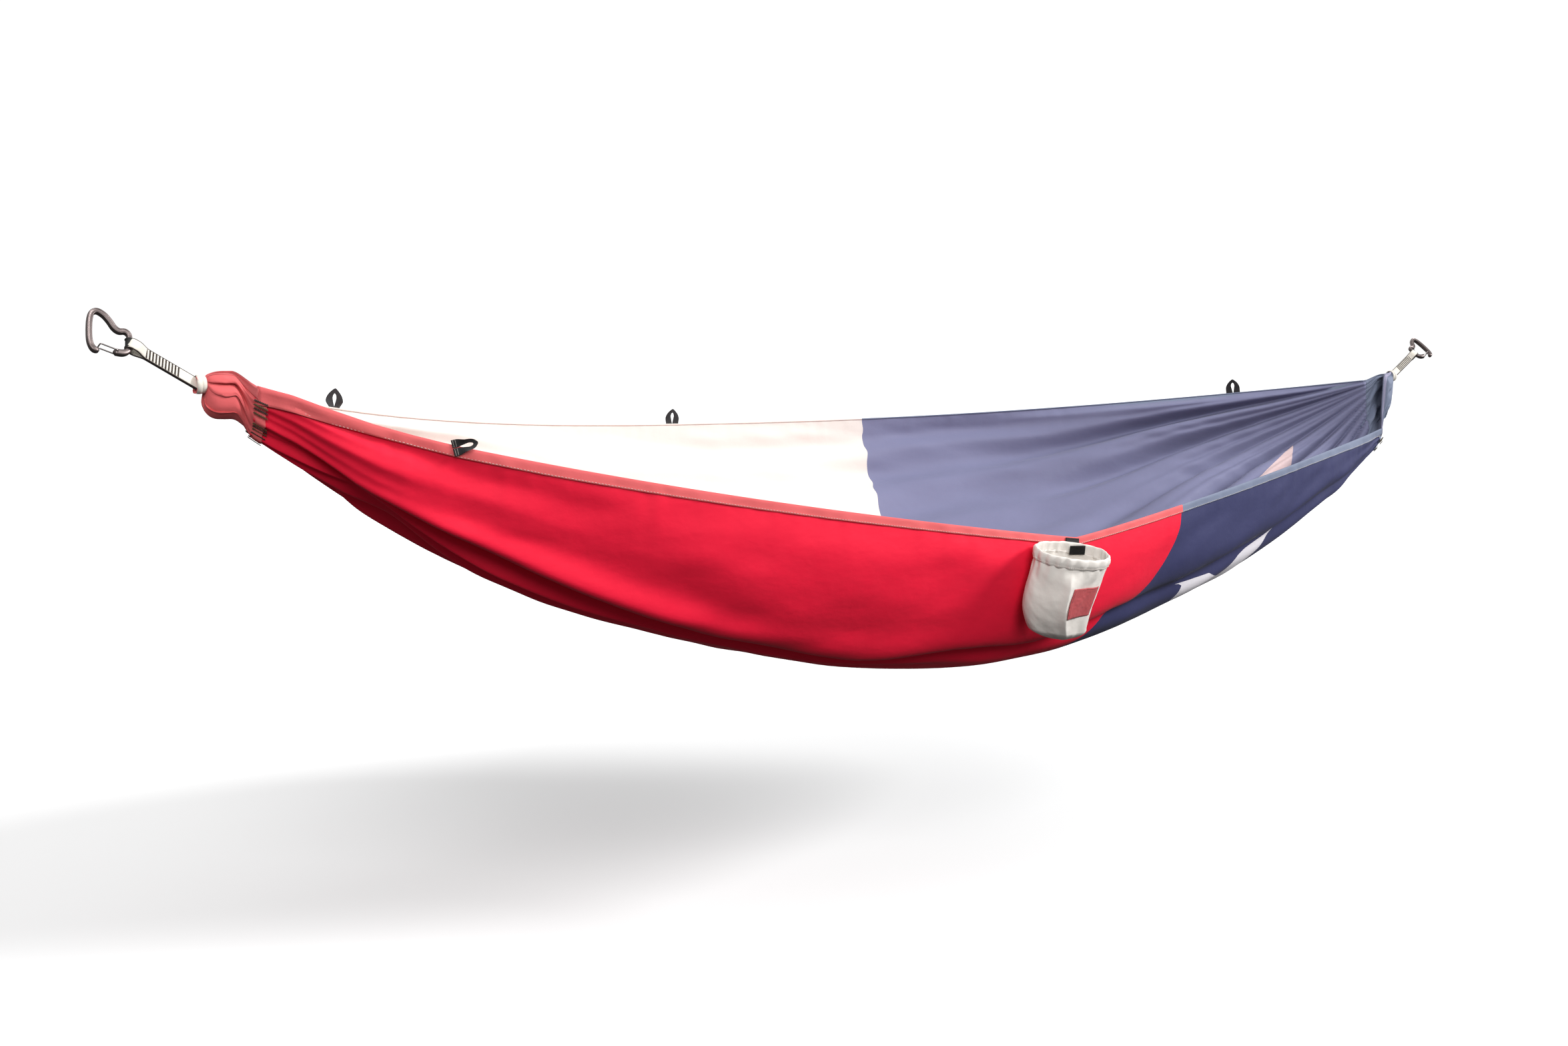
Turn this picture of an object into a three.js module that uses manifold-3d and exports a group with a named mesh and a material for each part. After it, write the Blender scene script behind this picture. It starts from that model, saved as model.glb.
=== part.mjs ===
// Camping hammock, hung and spread open, millimetres, Z up.
// X runs along the hang line to the right end, Y to the back rim. The origin is midway between
// the two gathered throats, where the slings take over from the cloth.
import * as THREE from 'three';
import { mergeVertices } from 'three/addons/utils/BufferGeometryUtils.js';
import Module from 'manifold-3d';

const wasm = await Module();
wasm.setup();

// ---- driving dimensions -------------------------------------------------------------------
const THROAT_X = 1300; // half the distance between the two gathered throats
const SEAM_X = 1235; // half the length of the open bed, to the seam of each end channel
const CLOTH_T = 1.4; // modelled cloth thickness
const HEM_W = 18, HEM_T = 1.1; // folded hem on the outside of both rims
const LAY_GAP = 0.8; // air between layers that are sewn together
const FRONT_OUT = 300, FRONT_DROP = 225, FRONT_DIP = 28; // front rim at mid length; the sack's dip
const BACK_OUT = 650, BACK_DROP = 94; // back rim at mid length
const KEEL_SHIFT = -96, KEEL_DROP = 480, KEEL_SKEW = 16; // lowest line of the bed
const END_FRONT = { y: -24, left: -24, right: -113 }; // front corner of the bed at each seam
const END_KEEL = { y: 0, left: -69, right: -185 };
const END_BACK = { y: 20, z: -9 };
const KEEL_LIFTS = [ // the right half hangs a little higher, and tucks up to the seam
  { at: 0.4, wide: 0.26, high: 17 }, { at: 0.7, wide: 0.18, high: 24 }, { at: 1.02, wide: 0.13, high: 26 },
];
const KEEL_V = 0.28; // share of the cloth's width that lies in front of the keel line
const NECK_R = 9, LIP_R = 10.5, NECK_WALL = 6; // gathered neck of each channel
const BUNCH = { from: 1269, to: 1290, left: [18, 30, -13], right: [16, 50, -44] }; // half wide, half high, height
const PLEATS = 10, PLEAT_DEPTH = 2.2;
const WRAP = { x: 1296, inner: 9.8, outer: 12.2, width: 7 }; // webbing hitch round the neck
const SLING = { rise: 31.4, start: 16, reach: 97, width: 13, half: 3.4, roll: { left: 25, right: 47 } };
const EYE = { half: 5.9, long: 9.2, wall: 2.1 };
const TACKS = { from: 30, to: 76, t: 0.6, width: 11.6 };
const BINER = { rise: { left: 11, right: 8 }, roll: { left: 25, right: 50 } };
const WIRE_R = 0.95, WIRE_HALF = 6.1; // gate wire and its half spacing either side of the body
const PIVOT = [14.3, -14.2], GATE_TIP = [36.3, -9.4], BORE_R = 1.35; // gate pivot and tip in the carabiner's plane
const LOOP = { width: 30, height: 30, tuck: 9, t: 1.8, slit: 4 }; // gear loop, a folded ribbon
const LOOPS = { back_left: -0.828, back_middle: -0.134, back_right: 0.842 };
const SACK_T = -0.0095; // where the stuff sack hangs along the front rim
const FLOPPED = { front_left: -0.8, front_right: 0.8 };
const TAB = { width: 30, high: 11, t: 1.6 }; // webbing tab on the hem that the sack hangs from
const SACK = { // open stuff sack, turned a little to the left of the rim and leaning back on the cloth
  half_wide: 62, half_deep: 36, turn: -20, aside: -43, stand_off: 43, lean: 12, tall: 135, wall: 1.6,
  collar: 20, collar_t: 2.6, gathers: 19, front_drop: 8, sway: -15, back: 20, taper: 0.3,
};
const PATCH = { from: 51, high: 52 };
const LABEL = { width: 25, long: 16, t: 1, at: 66, down: 11.5, inside: 6.8, fall: 8 };

const COLOURS = {
  red: 0xd92a48, white: 0xf4efe6, pink: 0xd47072, slate: 0x8f9fb6, black: 0x1c1a1c,
  webbing: 0xe6e0d2, thread: 0x3a2d2a, metal: 0x766f6e, steel: 0xb9b4ae, grey: 0xd8d2ca, label: 0xb8474a,
};
const mat = (c, rough = 0.8, metal = 0) =>
  new THREE.MeshStandardMaterial({ color: c, roughness: rough, metalness: metal });
const M = {
  cloth: mat(COLOURS.red), hem: mat(COLOURS.pink), web: mat(COLOURS.webbing), black: mat(COLOURS.black),
  thread: mat(COLOURS.thread), metal: mat(COLOURS.metal, 0.35, 0.9), steel: mat(COLOURS.steel, 0.3, 1),
  sack: mat(COLOURS.grey), label: mat(COLOURS.label), slate: mat(COLOURS.slate),
  rubber: mat(COLOURS.black, 0.7),
};
const root = new THREE.Group();
root.name = 'camping_hammock';
const V = (x, y, z) => new THREE.Vector3(x, y, z);
const mix = (a, b, k) => a + (b - a) * k;
const rad = THREE.MathUtils.degToRad;

function add(name, geometry, material) {
  const mesh = new THREE.Mesh(geometry, material);
  mesh.name = name;
  root.add(mesh);
  return mesh;
}

function fromIndexed(points, faces) {
  const g = new THREE.BufferGeometry();
  g.setAttribute('position', new THREE.Float32BufferAttribute(points.flatMap((p) => [p.x, p.y, p.z]), 3));
  g.setIndex(faces.flat());
  let six = 0; // signed volume: turn the faces round if they look inwards
  for (const [a, b, c] of faces) six += points[a].dot(points[b].clone().cross(points[c]));
  if (six < 0) g.setIndex(faces.map(([a, b, c]) => [a, c, b]).flat());
  g.computeVertexNormals();
  return g;
}

// a closed solid between two grids of points: outer(i, j) and inner(i, j)
function sheet(nu, nv, outer, inner) {
  const pts = [], faces = [];
  for (const side of [outer, inner])
    for (let i = 0; i <= nu; i++) for (let j = 0; j <= nv; j++) pts.push(side(i / nu, j / nv));
  const n = (nu + 1) * (nv + 1);
  const at = (k, i, j) => k * n + i * (nv + 1) + j;
  const quad = (a, b, c, d) => faces.push([a, b, c], [a, c, d]);
  for (let i = 0; i < nu; i++)
    for (let j = 0; j < nv; j++) {
      quad(at(0, i, j), at(0, i + 1, j), at(0, i + 1, j + 1), at(0, i, j + 1));
      quad(at(1, i, j), at(1, i, j + 1), at(1, i + 1, j + 1), at(1, i + 1, j));
    }
  for (let i = 0; i < nu; i++) {
    quad(at(0, i, 0), at(1, i, 0), at(1, i + 1, 0), at(0, i + 1, 0));
    quad(at(0, i, nv), at(0, i + 1, nv), at(1, i + 1, nv), at(1, i, nv));
  }
  for (let j = 0; j < nv; j++) {
    quad(at(0, 0, j), at(0, 0, j + 1), at(1, 0, j + 1), at(1, 0, j));
    quad(at(0, nu, j), at(1, nu, j), at(1, nu, j + 1), at(0, nu, j + 1));
  }
  return fromIndexed(pts, faces);
}

// a closed solid through a row of rings; round = true joins the last ring to the first
function rings(list, round = false) {
  const n = list[0].length, pts = list.flat(), faces = [];
  const last = round ? list.length : list.length - 1;
  for (let r = 0; r < last; r++)
    for (let k = 0; k < n; k++) {
      const a = r * n + k, b = r * n + ((k + 1) % n), s = ((r + 1) % list.length) * n;
      faces.push([a, b, s + ((k + 1) % n)], [a, s + ((k + 1) % n), s + k]);
    }
  if (!round)
    for (const [r, flip] of [[0, false], [list.length - 1, true]]) {
      const mid = pts.length;
      pts.push(list[r].reduce((p, q) => p.clone().add(q), V(0, 0, 0)).divideScalar(n));
      for (let k = 0; k < n; k++) {
        const a = r * n + k, b = r * n + ((k + 1) % n);
        faces.push(flip ? [a, b, mid] : [b, a, mid]);
      }
    }
  return fromIndexed(pts, faces);
}

function solid(g) {
  const bare = g.clone();
  for (const key of ['normal', 'uv']) bare.deleteAttribute(key);
  const m = mergeVertices(bare, 1e-4);
  return new wasm.Manifold(new wasm.Mesh({
    numProp: 3, vertProperties: new Float32Array(m.attributes.position.array), triVerts: new Uint32Array(m.index.array),
  }));
}
function cut(body, tool) {
  const mesh = solid(body).subtract(solid(tool)).getMesh();
  const g = new THREE.BufferGeometry();
  g.setAttribute('position', new THREE.BufferAttribute(new Float32Array(mesh.vertProperties), 3));
  g.setIndex(Array.from(mesh.triVerts));
  g.computeVertexNormals();
  return g;
}

const frame = (o, x, y, z) => new THREE.Matrix4().makeBasis(x, y, z).setPosition(o);

// ---- the bed: three rails and a smooth section through them --------------------------------
const bow = (t, power) => 1 - Math.abs(t) ** power;
function rails(t) {
  const open = (t + 1) / 2;
  const front = mix(END_FRONT.left, END_FRONT.right, open), keel = mix(END_KEEL.left, END_KEEL.right, open);
  return {
    F: V(SEAM_X * t, mix(END_FRONT.y, -FRONT_OUT, bow(t, 1.55)),
      mix(front, -FRONT_DROP, bow(t, 1.4)) - FRONT_DIP * Math.exp(-Math.abs(t) / 0.25)),
    K: V(SEAM_X * t, mix(END_KEEL.y, KEEL_SHIFT, bow(t, 2)),
      mix(keel, -KEEL_DROP, bow(t, 2.1)) + KEEL_SKEW * t * bow(t, 2)
      + KEEL_LIFTS.reduce((sum, { at, wide, high }) => sum + high * Math.exp(-(((t - at) / wide) ** 2)), 0)),
    B: V(SEAM_X * t, mix(END_BACK.y, BACK_OUT, bow(t, 2.25)), mix(END_BACK.z, -BACK_DROP, bow(t, 2.4))),
  };
}
function bed(t, v) {
  const { F, K, B } = rails(t);
  const w = v < KEEL_V ? K.y - F.y : B.y - K.y, h = v < KEEL_V ? F.z - K.z : B.z - K.z;
  const c = v < KEEL_V
    ? [F, F.clone().add(V(0, -0.06 * h, -0.5 * h)), K.clone().add(V(0, -0.72 * w, 0)), K]
    : [K, K.clone().add(V(0, 0.5 * w, 0)), B.clone().add(V(0, 0.02 * w, -0.5 * h)), B];
  const s = v < KEEL_V ? v / KEEL_V : (v - KEEL_V) / (1 - KEEL_V), r = 1 - s;
  return V(0, 0, 0)
    .addScaledVector(c[0], r ** 3).addScaledVector(c[1], 3 * r * r * s)
    .addScaledVector(c[2], 3 * r * s * s).addScaledVector(c[3], s ** 3);
}
function outward(t, v) {
  const e = 0.002;
  const along = bed(Math.min(1, t + e), v).sub(bed(Math.max(-1, t - e), v));
  const across = bed(t, Math.min(1, v + e)).sub(bed(t, Math.max(0, v - e)));
  return across.cross(along).normalize();
}
const off = (t, v, d) => bed(t, v).addScaledVector(outward(t, v), d);
function girth(t, from, to, n = 24) {
  let sum = 0;
  for (let i = 0; i < n; i++) sum += bed(t, mix(from, to, i / n)).distanceTo(bed(t, mix(from, to, (i + 1) / n)));
  return sum;
}
// stations closer together towards the gathered ends
const station = (i) => Math.sin((i - 0.5) * Math.PI) * 0.35 + (2 * i - 1) * 0.65;
const STATIONS = 60, ACROSS = 25;
add('bed_cloth', sheet(STATIONS, ACROSS, (i, j) => off(station(i), j, 0), (i, j) => off(station(i), j, -CLOTH_T)), M.cloth);

for (const [name, from, to] of [['front_hem', 0, 0.06], ['back_hem', 1, 0.94]]) {
  const edge = (t, j) => mix(from, to, (j * HEM_W) / girth(t, Math.min(from, to), Math.max(from, to)));
  const layer = (d) => (i, j) => {
    const t = 0.996 * station(i);
    return off(t, Math.min(1, Math.max(0, edge(t, j))), d);
  };
  add(name, sheet(STATIONS, 1, layer(LAY_GAP + HEM_T), layer(LAY_GAP)), M.hem);
}

// ---- gathered end channels, hitches, tacked slings, carabiners ------------------------------
const PATH = [ // centre line of the carabiner in its own plane: along, up, half in plane, half across
  [19.4, -14.4, 4.3, 4.4], [8.3, -14, 4.3, 4.4], [2.3, -10.5, 3.9, 4], [0, -4.5, 3.6, 3.6],
  [0, 6, 3.6, 3.6], [1.1, 12.8, 3.8, 3.9], [6, 16.4, 4.1, 4.2], [13.4, 15.4, 4.2, 4.5], [19.4, 19, 4.2, 4.6],
  [25.4, 27, 4.2, 4.6], [32.4, 34, 4.2, 4.6], [40.7, 37.4, 4.1, 4.6], [46.7, 33.5, 4, 4.6], [48.8, 24, 4, 4.7],
  [49, 10, 4, 4.7], [47.9, -4, 4, 4.6], [45, -12.5, 4, 4.5], [40.7, -16.4, 3.9, 4.3], [35.7, -14.9, 3.6, 3.9],
];

function planarRod(path, steps, sides) {
  const curve = new THREE.CatmullRomCurve3(path.map(([p, q]) => V(p, q, 0)), false, 'centripetal');
  const size = new THREE.CatmullRomCurve3(path.map(([p, q, a, b]) => V(a, b, 0)), false, 'centripetal');
  const list = [];
  for (let i = 0; i <= steps; i++) {
    const u = i / steps, o = curve.getPoint(u), tan = curve.getTangent(u), s = size.getPoint(u);
    const end = Math.min(u, 1 - u) * steps, round = end < 1.5 ? [0.55, 0.88][Math.floor(end)] : 1;
    const side = V(-tan.y, tan.x, 0);
    list.push(Array.from({ length: sides }, (_, k) => {
      const a = (2 * Math.PI * k) / sides;
      return o.clone().addScaledVector(side, s.x * round * Math.cos(a)).add(V(0, 0, s.y * round * Math.sin(a)));
    }));
  }
  return rings(list);
}

function bartack(t, v, layer) {
  const half = 5 / girth(t, 0, 1, 60), long = 13 / SEAM_X, dir = Math.sign(t);
  const at = (d) => (i, j) => off(t - dir * long * i, v + half * (2 * j - 1), layer + d);
  return sheet(3, 2, at(0.7), at(0));
}

for (const [end, dir] of [['left', -1], ['right', 1]]) {
  // channel: a pleated thick wall that runs from the seam into a nearly closed neck
  const [bunchY, bunchZ, bunchAt] = BUNCH[end];
  const wall = (s, v, pleat) => {
    const x = mix(SEAM_X + 0.5, THROAT_X + 3, s);
    const k = THREE.MathUtils.smoothstep(x, SEAM_X - 6, SEAM_X + 36);
    const u = Math.min(1, Math.max(0, (x - BUNCH.from) / (BUNCH.to - BUNCH.from))), e = 1 - Math.sqrt(1 - u * u);
    const r = mix(NECK_R, LIP_R, THREE.MathUtils.smoothstep(x, THROAT_X - 0.2, THROAT_X + 3));
    const a = rad(330 * (v - 0.5)), from = off(dir, v, 1.2), n = outward(dir, v);
    const wave = pleat * Math.sin(Math.PI * Math.min(1, k * (1 - e))) ** 0.5 * Math.cos(2 * Math.PI * PLEATS * v);
    return V(dir * x, mix(from.y, mix(bunchY, r, e) * Math.sin(a), k) + n.y * wave,
      mix(from.z, mix(bunchAt, 0, e) - mix(bunchZ, r, e) * Math.cos(a), k) + n.z * wave);
  };
  const outer = (s, v) => wall(s, v, PLEAT_DEPTH);
  const inner = (s, v) => { // the inside of the wall is plain, so that the pleats never reach it
    const e = 0.004, p = wall(s, v, 0);
    const q = wall(s, Math.min(1, v + e), 0).sub(wall(s, Math.max(0, v - e), 0)).normalize();
    const thick = mix(2.6, NECK_WALL, Math.min(1, Math.max(0, (s - 0.3) * 2)));
    return p.add(V(0, -q.z, q.y).multiplyScalar(thick));
  };
  add(`${end}_channel`, sheet(19, 40, outer, inner), end === 'left' ? M.hem : M.slate);

  const ring = [];
  for (let k = 0; k < 36; k++) {
    const a = (2 * Math.PI * k) / 36;
    ring.push([[WRAP.inner, -0.5], [WRAP.outer, -0.5], [WRAP.outer, 0.5], [WRAP.inner, 0.5]].map(([r, w]) =>
      V(dir * (WRAP.x + w * WRAP.width), r * Math.cos(a), r * Math.sin(a))));
  }
  add(`${end}_hitch_wrap`, rings(ring, true), M.web);

  [0.1, 0.22, 0.36, 0.5].forEach((v, k) => {
    add(`${end}_bartack_${k + 1}`, bartack(dir * 0.992, v, k === 0 ? LAY_GAP * 2 + HEM_T : LAY_GAP), M.thread);
  });

  // sling: doubled webbing with an open eye round the carabiner's narrow end
  const T = V(dir * THROAT_X, 0, 0), up = rad(SLING.rise), roll = rad(SLING.roll[end]);
  const axis = V(dir * Math.cos(up), 0, Math.sin(up)), rise = V(-dir * Math.sin(up), 0, Math.cos(up));
  const wide = rise.clone().multiplyScalar(Math.cos(roll)).add(V(0, Math.sin(roll), 0));
  const face = new THREE.Vector3().crossVectors(axis, wide).multiplyScalar(dir);
  const place = (g, o, x, y, z) => {
    const m = frame(o, x, y, z);
    g.applyMatrix4(m);
    if (m.determinant() < 0) {
      g = mergeVertices(g);
      const idx = Array.from(g.index.array);
      for (let i = 0; i < idx.length; i += 3) [idx[i + 1], idx[i + 2]] = [idx[i + 2], idx[i + 1]];
      g.setIndex(idx);
    }
    g.computeVertexNormals();
    return g;
  };
  const R = SLING.reach, oh = EYE.half + EYE.wall, ol = EYE.long - EYE.half;
  const band = new THREE.Shape();
  band.moveTo(SLING.start, -SLING.half);
  band.lineTo(R - 24, -SLING.half);
  band.bezierCurveTo(R - 15, -SLING.half, R - 13, -oh, R - ol, -oh);
  band.lineTo(R + ol, -oh);
  band.absarc(R + ol, 0, oh, -Math.PI / 2, Math.PI / 2, false);
  band.lineTo(R - ol, oh);
  band.bezierCurveTo(R - 13, oh, R - 15, SLING.half, R - 24, SLING.half);
  band.lineTo(SLING.start, SLING.half);
  const eye = new THREE.Path();
  eye.moveTo(R - ol, -EYE.half);
  eye.absarc(R + ol, 0, EYE.half, -Math.PI / 2, Math.PI / 2, false);
  eye.lineTo(R - ol, EYE.half);
  eye.bezierCurveTo(R - 9, EYE.half, R - 12, 1.5, R - 16, 0);
  eye.bezierCurveTo(R - 12, -1.5, R - 9, -EYE.half, R - ol, -EYE.half);
  band.holes.push(eye);
  const strap = new THREE.ExtrudeGeometry(band, { depth: SLING.width, bevelEnabled: false, curveSegments: 7 });
  strap.translate(0, 0, -SLING.width / 2);
  add(`${end}_sling`, place(strap, T, axis, face, wide), M.web);

  const tacks = new THREE.BoxGeometry(TACKS.to - TACKS.from, TACKS.t, TACKS.width);
  tacks.translate((TACKS.to + TACKS.from) / 2 - (TACKS.to > R - 24 ? 3 : 0), SLING.half + 0.3 + TACKS.t / 2, 0);
  add(`${end}_sling_tacks`, place(tacks, T, axis, face, wide), M.thread);

  // carabiner, its rubber keeper and its wire gate, in the plane through the narrow end
  const N = T.clone().addScaledVector(axis, R), tilt = rad(BINER.rise[end]), lean = rad(BINER.roll[end]);
  const long = V(dir * Math.cos(tilt), 0, Math.sin(tilt));
  const rod = V(-dir * Math.sin(tilt), 0, Math.cos(tilt)).multiplyScalar(Math.cos(lean)).add(V(0, Math.sin(lean), 0));
  const flat = new THREE.Vector3().crossVectors(long, rod);
  const bore = new THREE.CylinderGeometry(BORE_R, BORE_R, 14, 16).rotateX(Math.PI / 2).translate(...PIVOT, 0);
  add(`${end}_carabiner`, place(cut(planarRod(PATH, 64, 12), bore), N, long, rod, flat), M.metal);

  const keeper = [];
  for (let k = 0; k < 28; k++) {
    const a = (2 * Math.PI * k) / 28;
    keeper.push([[4, -0.5], [4.9, -0.5], [4.9, 0.5], [4, 0.5]].map(([r, w]) =>
      V(r * Math.cos(a), 0.8 + w * 13, r * Math.sin(a))));
  }
  add(`${end}_keeper`, place(rings(keeper, true), N, long, rod, flat), M.rubber);

  // the wire gate is one closed loop of wire: through the pivot hole, along both sides, under the nose
  const reach = Math.hypot(GATE_TIP[0] - PIVOT[0], GATE_TIP[1] - PIVOT[1]);
  const g = new THREE.Vector2((GATE_TIP[0] - PIVOT[0]) / reach, (GATE_TIP[1] - PIVOT[1]) / reach);
  const c = 2, h = WIRE_HALF;
  const corners = [[0, -h + c], [0, h - c], [c * 0.3, h - c * 0.3], [c, h], [reach - c, h], [reach - c * 0.3, h - c * 0.3],
    [reach, h - c], [reach, -h + c], [reach - c * 0.3, -h + c * 0.3], [reach - c, -h], [c, -h], [c * 0.3, -h + c * 0.3]];
  const wire = corners.map(([x, y], k) => {
    const [xa, ya] = corners.at(k - 1), [xb, yb] = corners[(k + 1) % corners.length];
    const tan = new THREE.Vector2(xb - xa, yb - ya).normalize(), out = V(tan.y, -tan.x, 0);
    return Array.from({ length: 10 }, (_, m) => {
      const a = (2 * Math.PI * m) / 10, p = V(x, y, 0).addScaledVector(out, WIRE_R * Math.cos(a));
      const side = WIRE_R * Math.sin(a); // across the plane of the loop
      return V(PIVOT[0] + g.x * p.x - g.y * side, PIVOT[1] + g.y * p.x + g.x * side, p.y);
    });
  });
  add(`${end}_gate`, place(rings(wire, true), N, long, rod, flat), M.steel);
}

// ---- gear loops: a ribbon folded to a point, its two legs sewn to the hem --------------------
function ribbonLoop() {
  const w = LOOP.width / 2, h = LOOP.height, s = new THREE.Shape();
  s.moveTo(-w, -LOOP.tuck);
  s.lineTo(w, -LOOP.tuck);
  s.lineTo(w * 0.96, h * 0.42);
  s.quadraticCurveTo(w * 0.8, h * 0.78, 2, h * 0.98);
  s.quadraticCurveTo(0, h * 1.02, -2, h * 0.98);
  s.quadraticCurveTo(-w * 0.8, h * 0.78, -w * 0.96, h * 0.42);
  const slit = new THREE.Path();
  slit.moveTo(-0.9, 1.5);
  slit.lineTo(-LOOP.slit, h * 0.48);
  slit.absarc(0, h * 0.48, LOOP.slit, Math.PI, 0, true);
  slit.lineTo(0.9, 1.5);
  s.holes.push(slit);
  return new THREE.ExtrudeGeometry(s, { depth: LOOP.t, bevelEnabled: false, curveSegments: 8 });
}
// axes on the wall at a rim: along the rim, up the wall, out of the cloth
function rimAxes(t, v) {
  const e = 0.004, out = outward(t, v);
  const along = bed(t + e, v).sub(bed(t - e, v)).normalize();
  const up = new THREE.Vector3().crossVectors(out, along).normalize();
  if (up.z < 0) { up.negate(); along.negate(); }
  return { along, up, out: out.crossVectors(along, up) };
}
function onRim(name, t, v, depth, spin) {
  const { along, up, out } = rimAxes(t, v), g = ribbonLoop().rotateZ(rad(spin));
  g.applyMatrix4(frame(off(t, v, depth), along, up, out));
  add(name, g, M.black);
}
const OUTSIDE = 2 * LAY_GAP + HEM_T;
for (const [name, t] of Object.entries(LOOPS)) onRim(`gear_loop_${name}`, t, 1, OUTSIDE, 0);
onRim('gear_loop_front_left', FLOPPED.front_left, 0, OUTSIDE, -65);
{ // this one has fallen inside and lies on the wall
  const t = FLOPPED.front_right, { along, out } = rimAxes(t, 0);
  const down = bed(t, (LOOP.height * 1.15) / girth(t, 0, 1)).sub(bed(t, 0)).normalize();
  const away = new THREE.Vector3().crossVectors(along, down).normalize();
  if (away.dot(out) > 0) away.negate();
  const from = off(t, 0, -CLOTH_T - LAY_GAP).addScaledVector(down, LOOP.tuck + 1);
  add('gear_loop_front_right', ribbonLoop().applyMatrix4(
    frame(from, new THREE.Vector3().crossVectors(down, away), down, away)), M.black);
}

// ---- the stuff sack, hanging from a tab at the middle of the front rim -----------------------
const { along: tabX, up: tabZ, out: tabY } = rimAxes(SACK_T, 0);
const tab = new THREE.BoxGeometry(TAB.width, TAB.high, TAB.t);
tab.translate(0, -TAB.high / 2 - 1, TAB.t / 2);
tab.applyMatrix4(frame(off(SACK_T, 0, OUTSIDE), tabX, tabZ, tabY));
add('sack_tab', tab, M.black);

const hinge = off(SACK_T, 0, OUTSIDE + TAB.t + 1).add(V(0, 0, 0.5));
const toSack = new THREE.Matrix4().makeTranslation(hinge.x, hinge.y, hinge.z)
  .multiply(new THREE.Matrix4().makeRotationX(rad(SACK.lean)));
const turn = rad(SACK.turn);
function sackPoint(a, down, grow, gather = 0) {
  const k = Math.min(1, Math.max(0, (down - SACK.collar) / SACK.tall)), narrow = 1 - SACK.taper * k ** 3;
  const pinch = grow + gather * Math.cos(SACK.gathers * a);
  const x = (SACK.half_wide * narrow + pinch) * Math.cos(a), y = (SACK.half_deep * narrow + pinch) * Math.sin(a);
  const out = -(x * Math.sin(turn) + y * Math.cos(turn)), front = (out + SACK.half_deep) / (2 * SACK.half_deep);
  const drop = SACK.front_drop * (1 - k);
  const aside = SACK.aside + SACK.sway * THREE.MathUtils.smoothstep(down, 0, 95)
    + SACK.back * Math.max(0, (down - 95) / 60) ** 2;
  return V(aside + x * Math.cos(turn) - y * Math.sin(turn), -SACK.stand_off - out, -down - drop * front)
    .applyMatrix4(toSack);
}
const sackRing = (down, grow, n, gather) =>
  Array.from({ length: n }, (_, k) => sackPoint((2 * Math.PI * k) / n, down, grow, gather));
{
  const top = SACK.collar + 1, floor = SACK.collar + SACK.tall, n = 40, w = SACK.wall;
  const outer = [], inner = [];
  for (let i = 0; i <= 8; i++) {
    const d = mix(top, floor - 16, i / 8);
    outer.push(sackRing(d, 0, n));
    inner.push(sackRing(d, -w, n));
  }
  for (const [k, g] of [[0.45, -4], [0.8, -12], [1, -26]]) {
    const d = floor - 16 + 16 * k;
    outer.push(sackRing(d, g, n));
    inner.push(sackRing(d - w, g - w, n));
  }
  add('sack_body', rings([...outer.reverse(), ...inner]), M.sack);

  const m = 78, t = SACK.collar_t, collar = [];
  for (const [d, g] of [[20, 0], [19, 1.2], [11, 1.9], [4, 1.5], [2.4, 0], [2.4, -t], [4, -t], [11, -t], [19, -t], [20, -t]])
    collar.push(sackRing(d, g, m, g > 1 ? 0.8 : 0.35));
  add('sack_collar', rings(collar, true), M.sack);

  // plain sewn patch on the front right, and the plain woven label that ties the sack to its tab
  const patch = (d) => (i, j) => sackPoint(rad(mix(-92, -30, i)), mix(PATCH.from, PATCH.from + PATCH.high, j), d);
  add('sack_patch', sheet(8, 5, patch(LAY_GAP + 0.8), patch(LAY_GAP)), M.label);
  const label = new THREE.BoxGeometry(LABEL.width, LABEL.long, LABEL.t);
  const spot = sackPoint(rad(LABEL.at), LABEL.down, -LABEL.inside);
  const lie = sackPoint(rad(LABEL.at - 8), LABEL.down, -LABEL.inside).sub(sackPoint(rad(LABEL.at + 8), LABEL.down, -LABEL.inside));
  const wide = lie.setZ(0).normalize(), tip = rad(SACK.lean + LABEL.fall);
  const high = V(wide.y * Math.sin(tip), -wide.x * Math.sin(tip), Math.cos(tip)).normalize();
  add('sack_label', label.applyMatrix4(frame(spot, wide, high, new THREE.Vector3().crossVectors(wide, high))), M.black);
}

export default root;
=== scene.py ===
# Camping hammock, hung and spread open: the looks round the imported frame. Metres, Z up.
import math

import bpy
import numpy as np
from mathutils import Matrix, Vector


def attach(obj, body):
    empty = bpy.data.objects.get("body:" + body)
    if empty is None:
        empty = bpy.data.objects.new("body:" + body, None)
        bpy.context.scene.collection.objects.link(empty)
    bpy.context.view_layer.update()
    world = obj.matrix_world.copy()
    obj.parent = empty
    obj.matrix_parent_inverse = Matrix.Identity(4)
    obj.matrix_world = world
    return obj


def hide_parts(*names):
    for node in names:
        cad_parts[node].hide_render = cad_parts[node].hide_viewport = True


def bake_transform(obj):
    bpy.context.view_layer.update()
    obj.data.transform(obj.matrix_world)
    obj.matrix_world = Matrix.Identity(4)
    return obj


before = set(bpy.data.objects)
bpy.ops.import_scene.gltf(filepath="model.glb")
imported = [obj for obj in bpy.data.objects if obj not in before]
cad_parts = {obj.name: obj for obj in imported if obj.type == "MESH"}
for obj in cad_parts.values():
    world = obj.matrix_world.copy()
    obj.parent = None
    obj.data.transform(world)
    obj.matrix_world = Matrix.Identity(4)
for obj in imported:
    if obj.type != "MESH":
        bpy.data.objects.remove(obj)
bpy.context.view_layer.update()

# ---- camera, floor, light
EYE = Vector((-1.970, -2.175, .026))
YAW, PITCH = math.radians(36.43), math.radians(5.44)  # to the right of +Y, and down
LENS = 38.3
FLOOR_Z = -.872
WORLD, KEY, TOP, FILL = (.07, .55), 2.9, .45, 1.55  # light from below and above, and the three lamps

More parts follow.
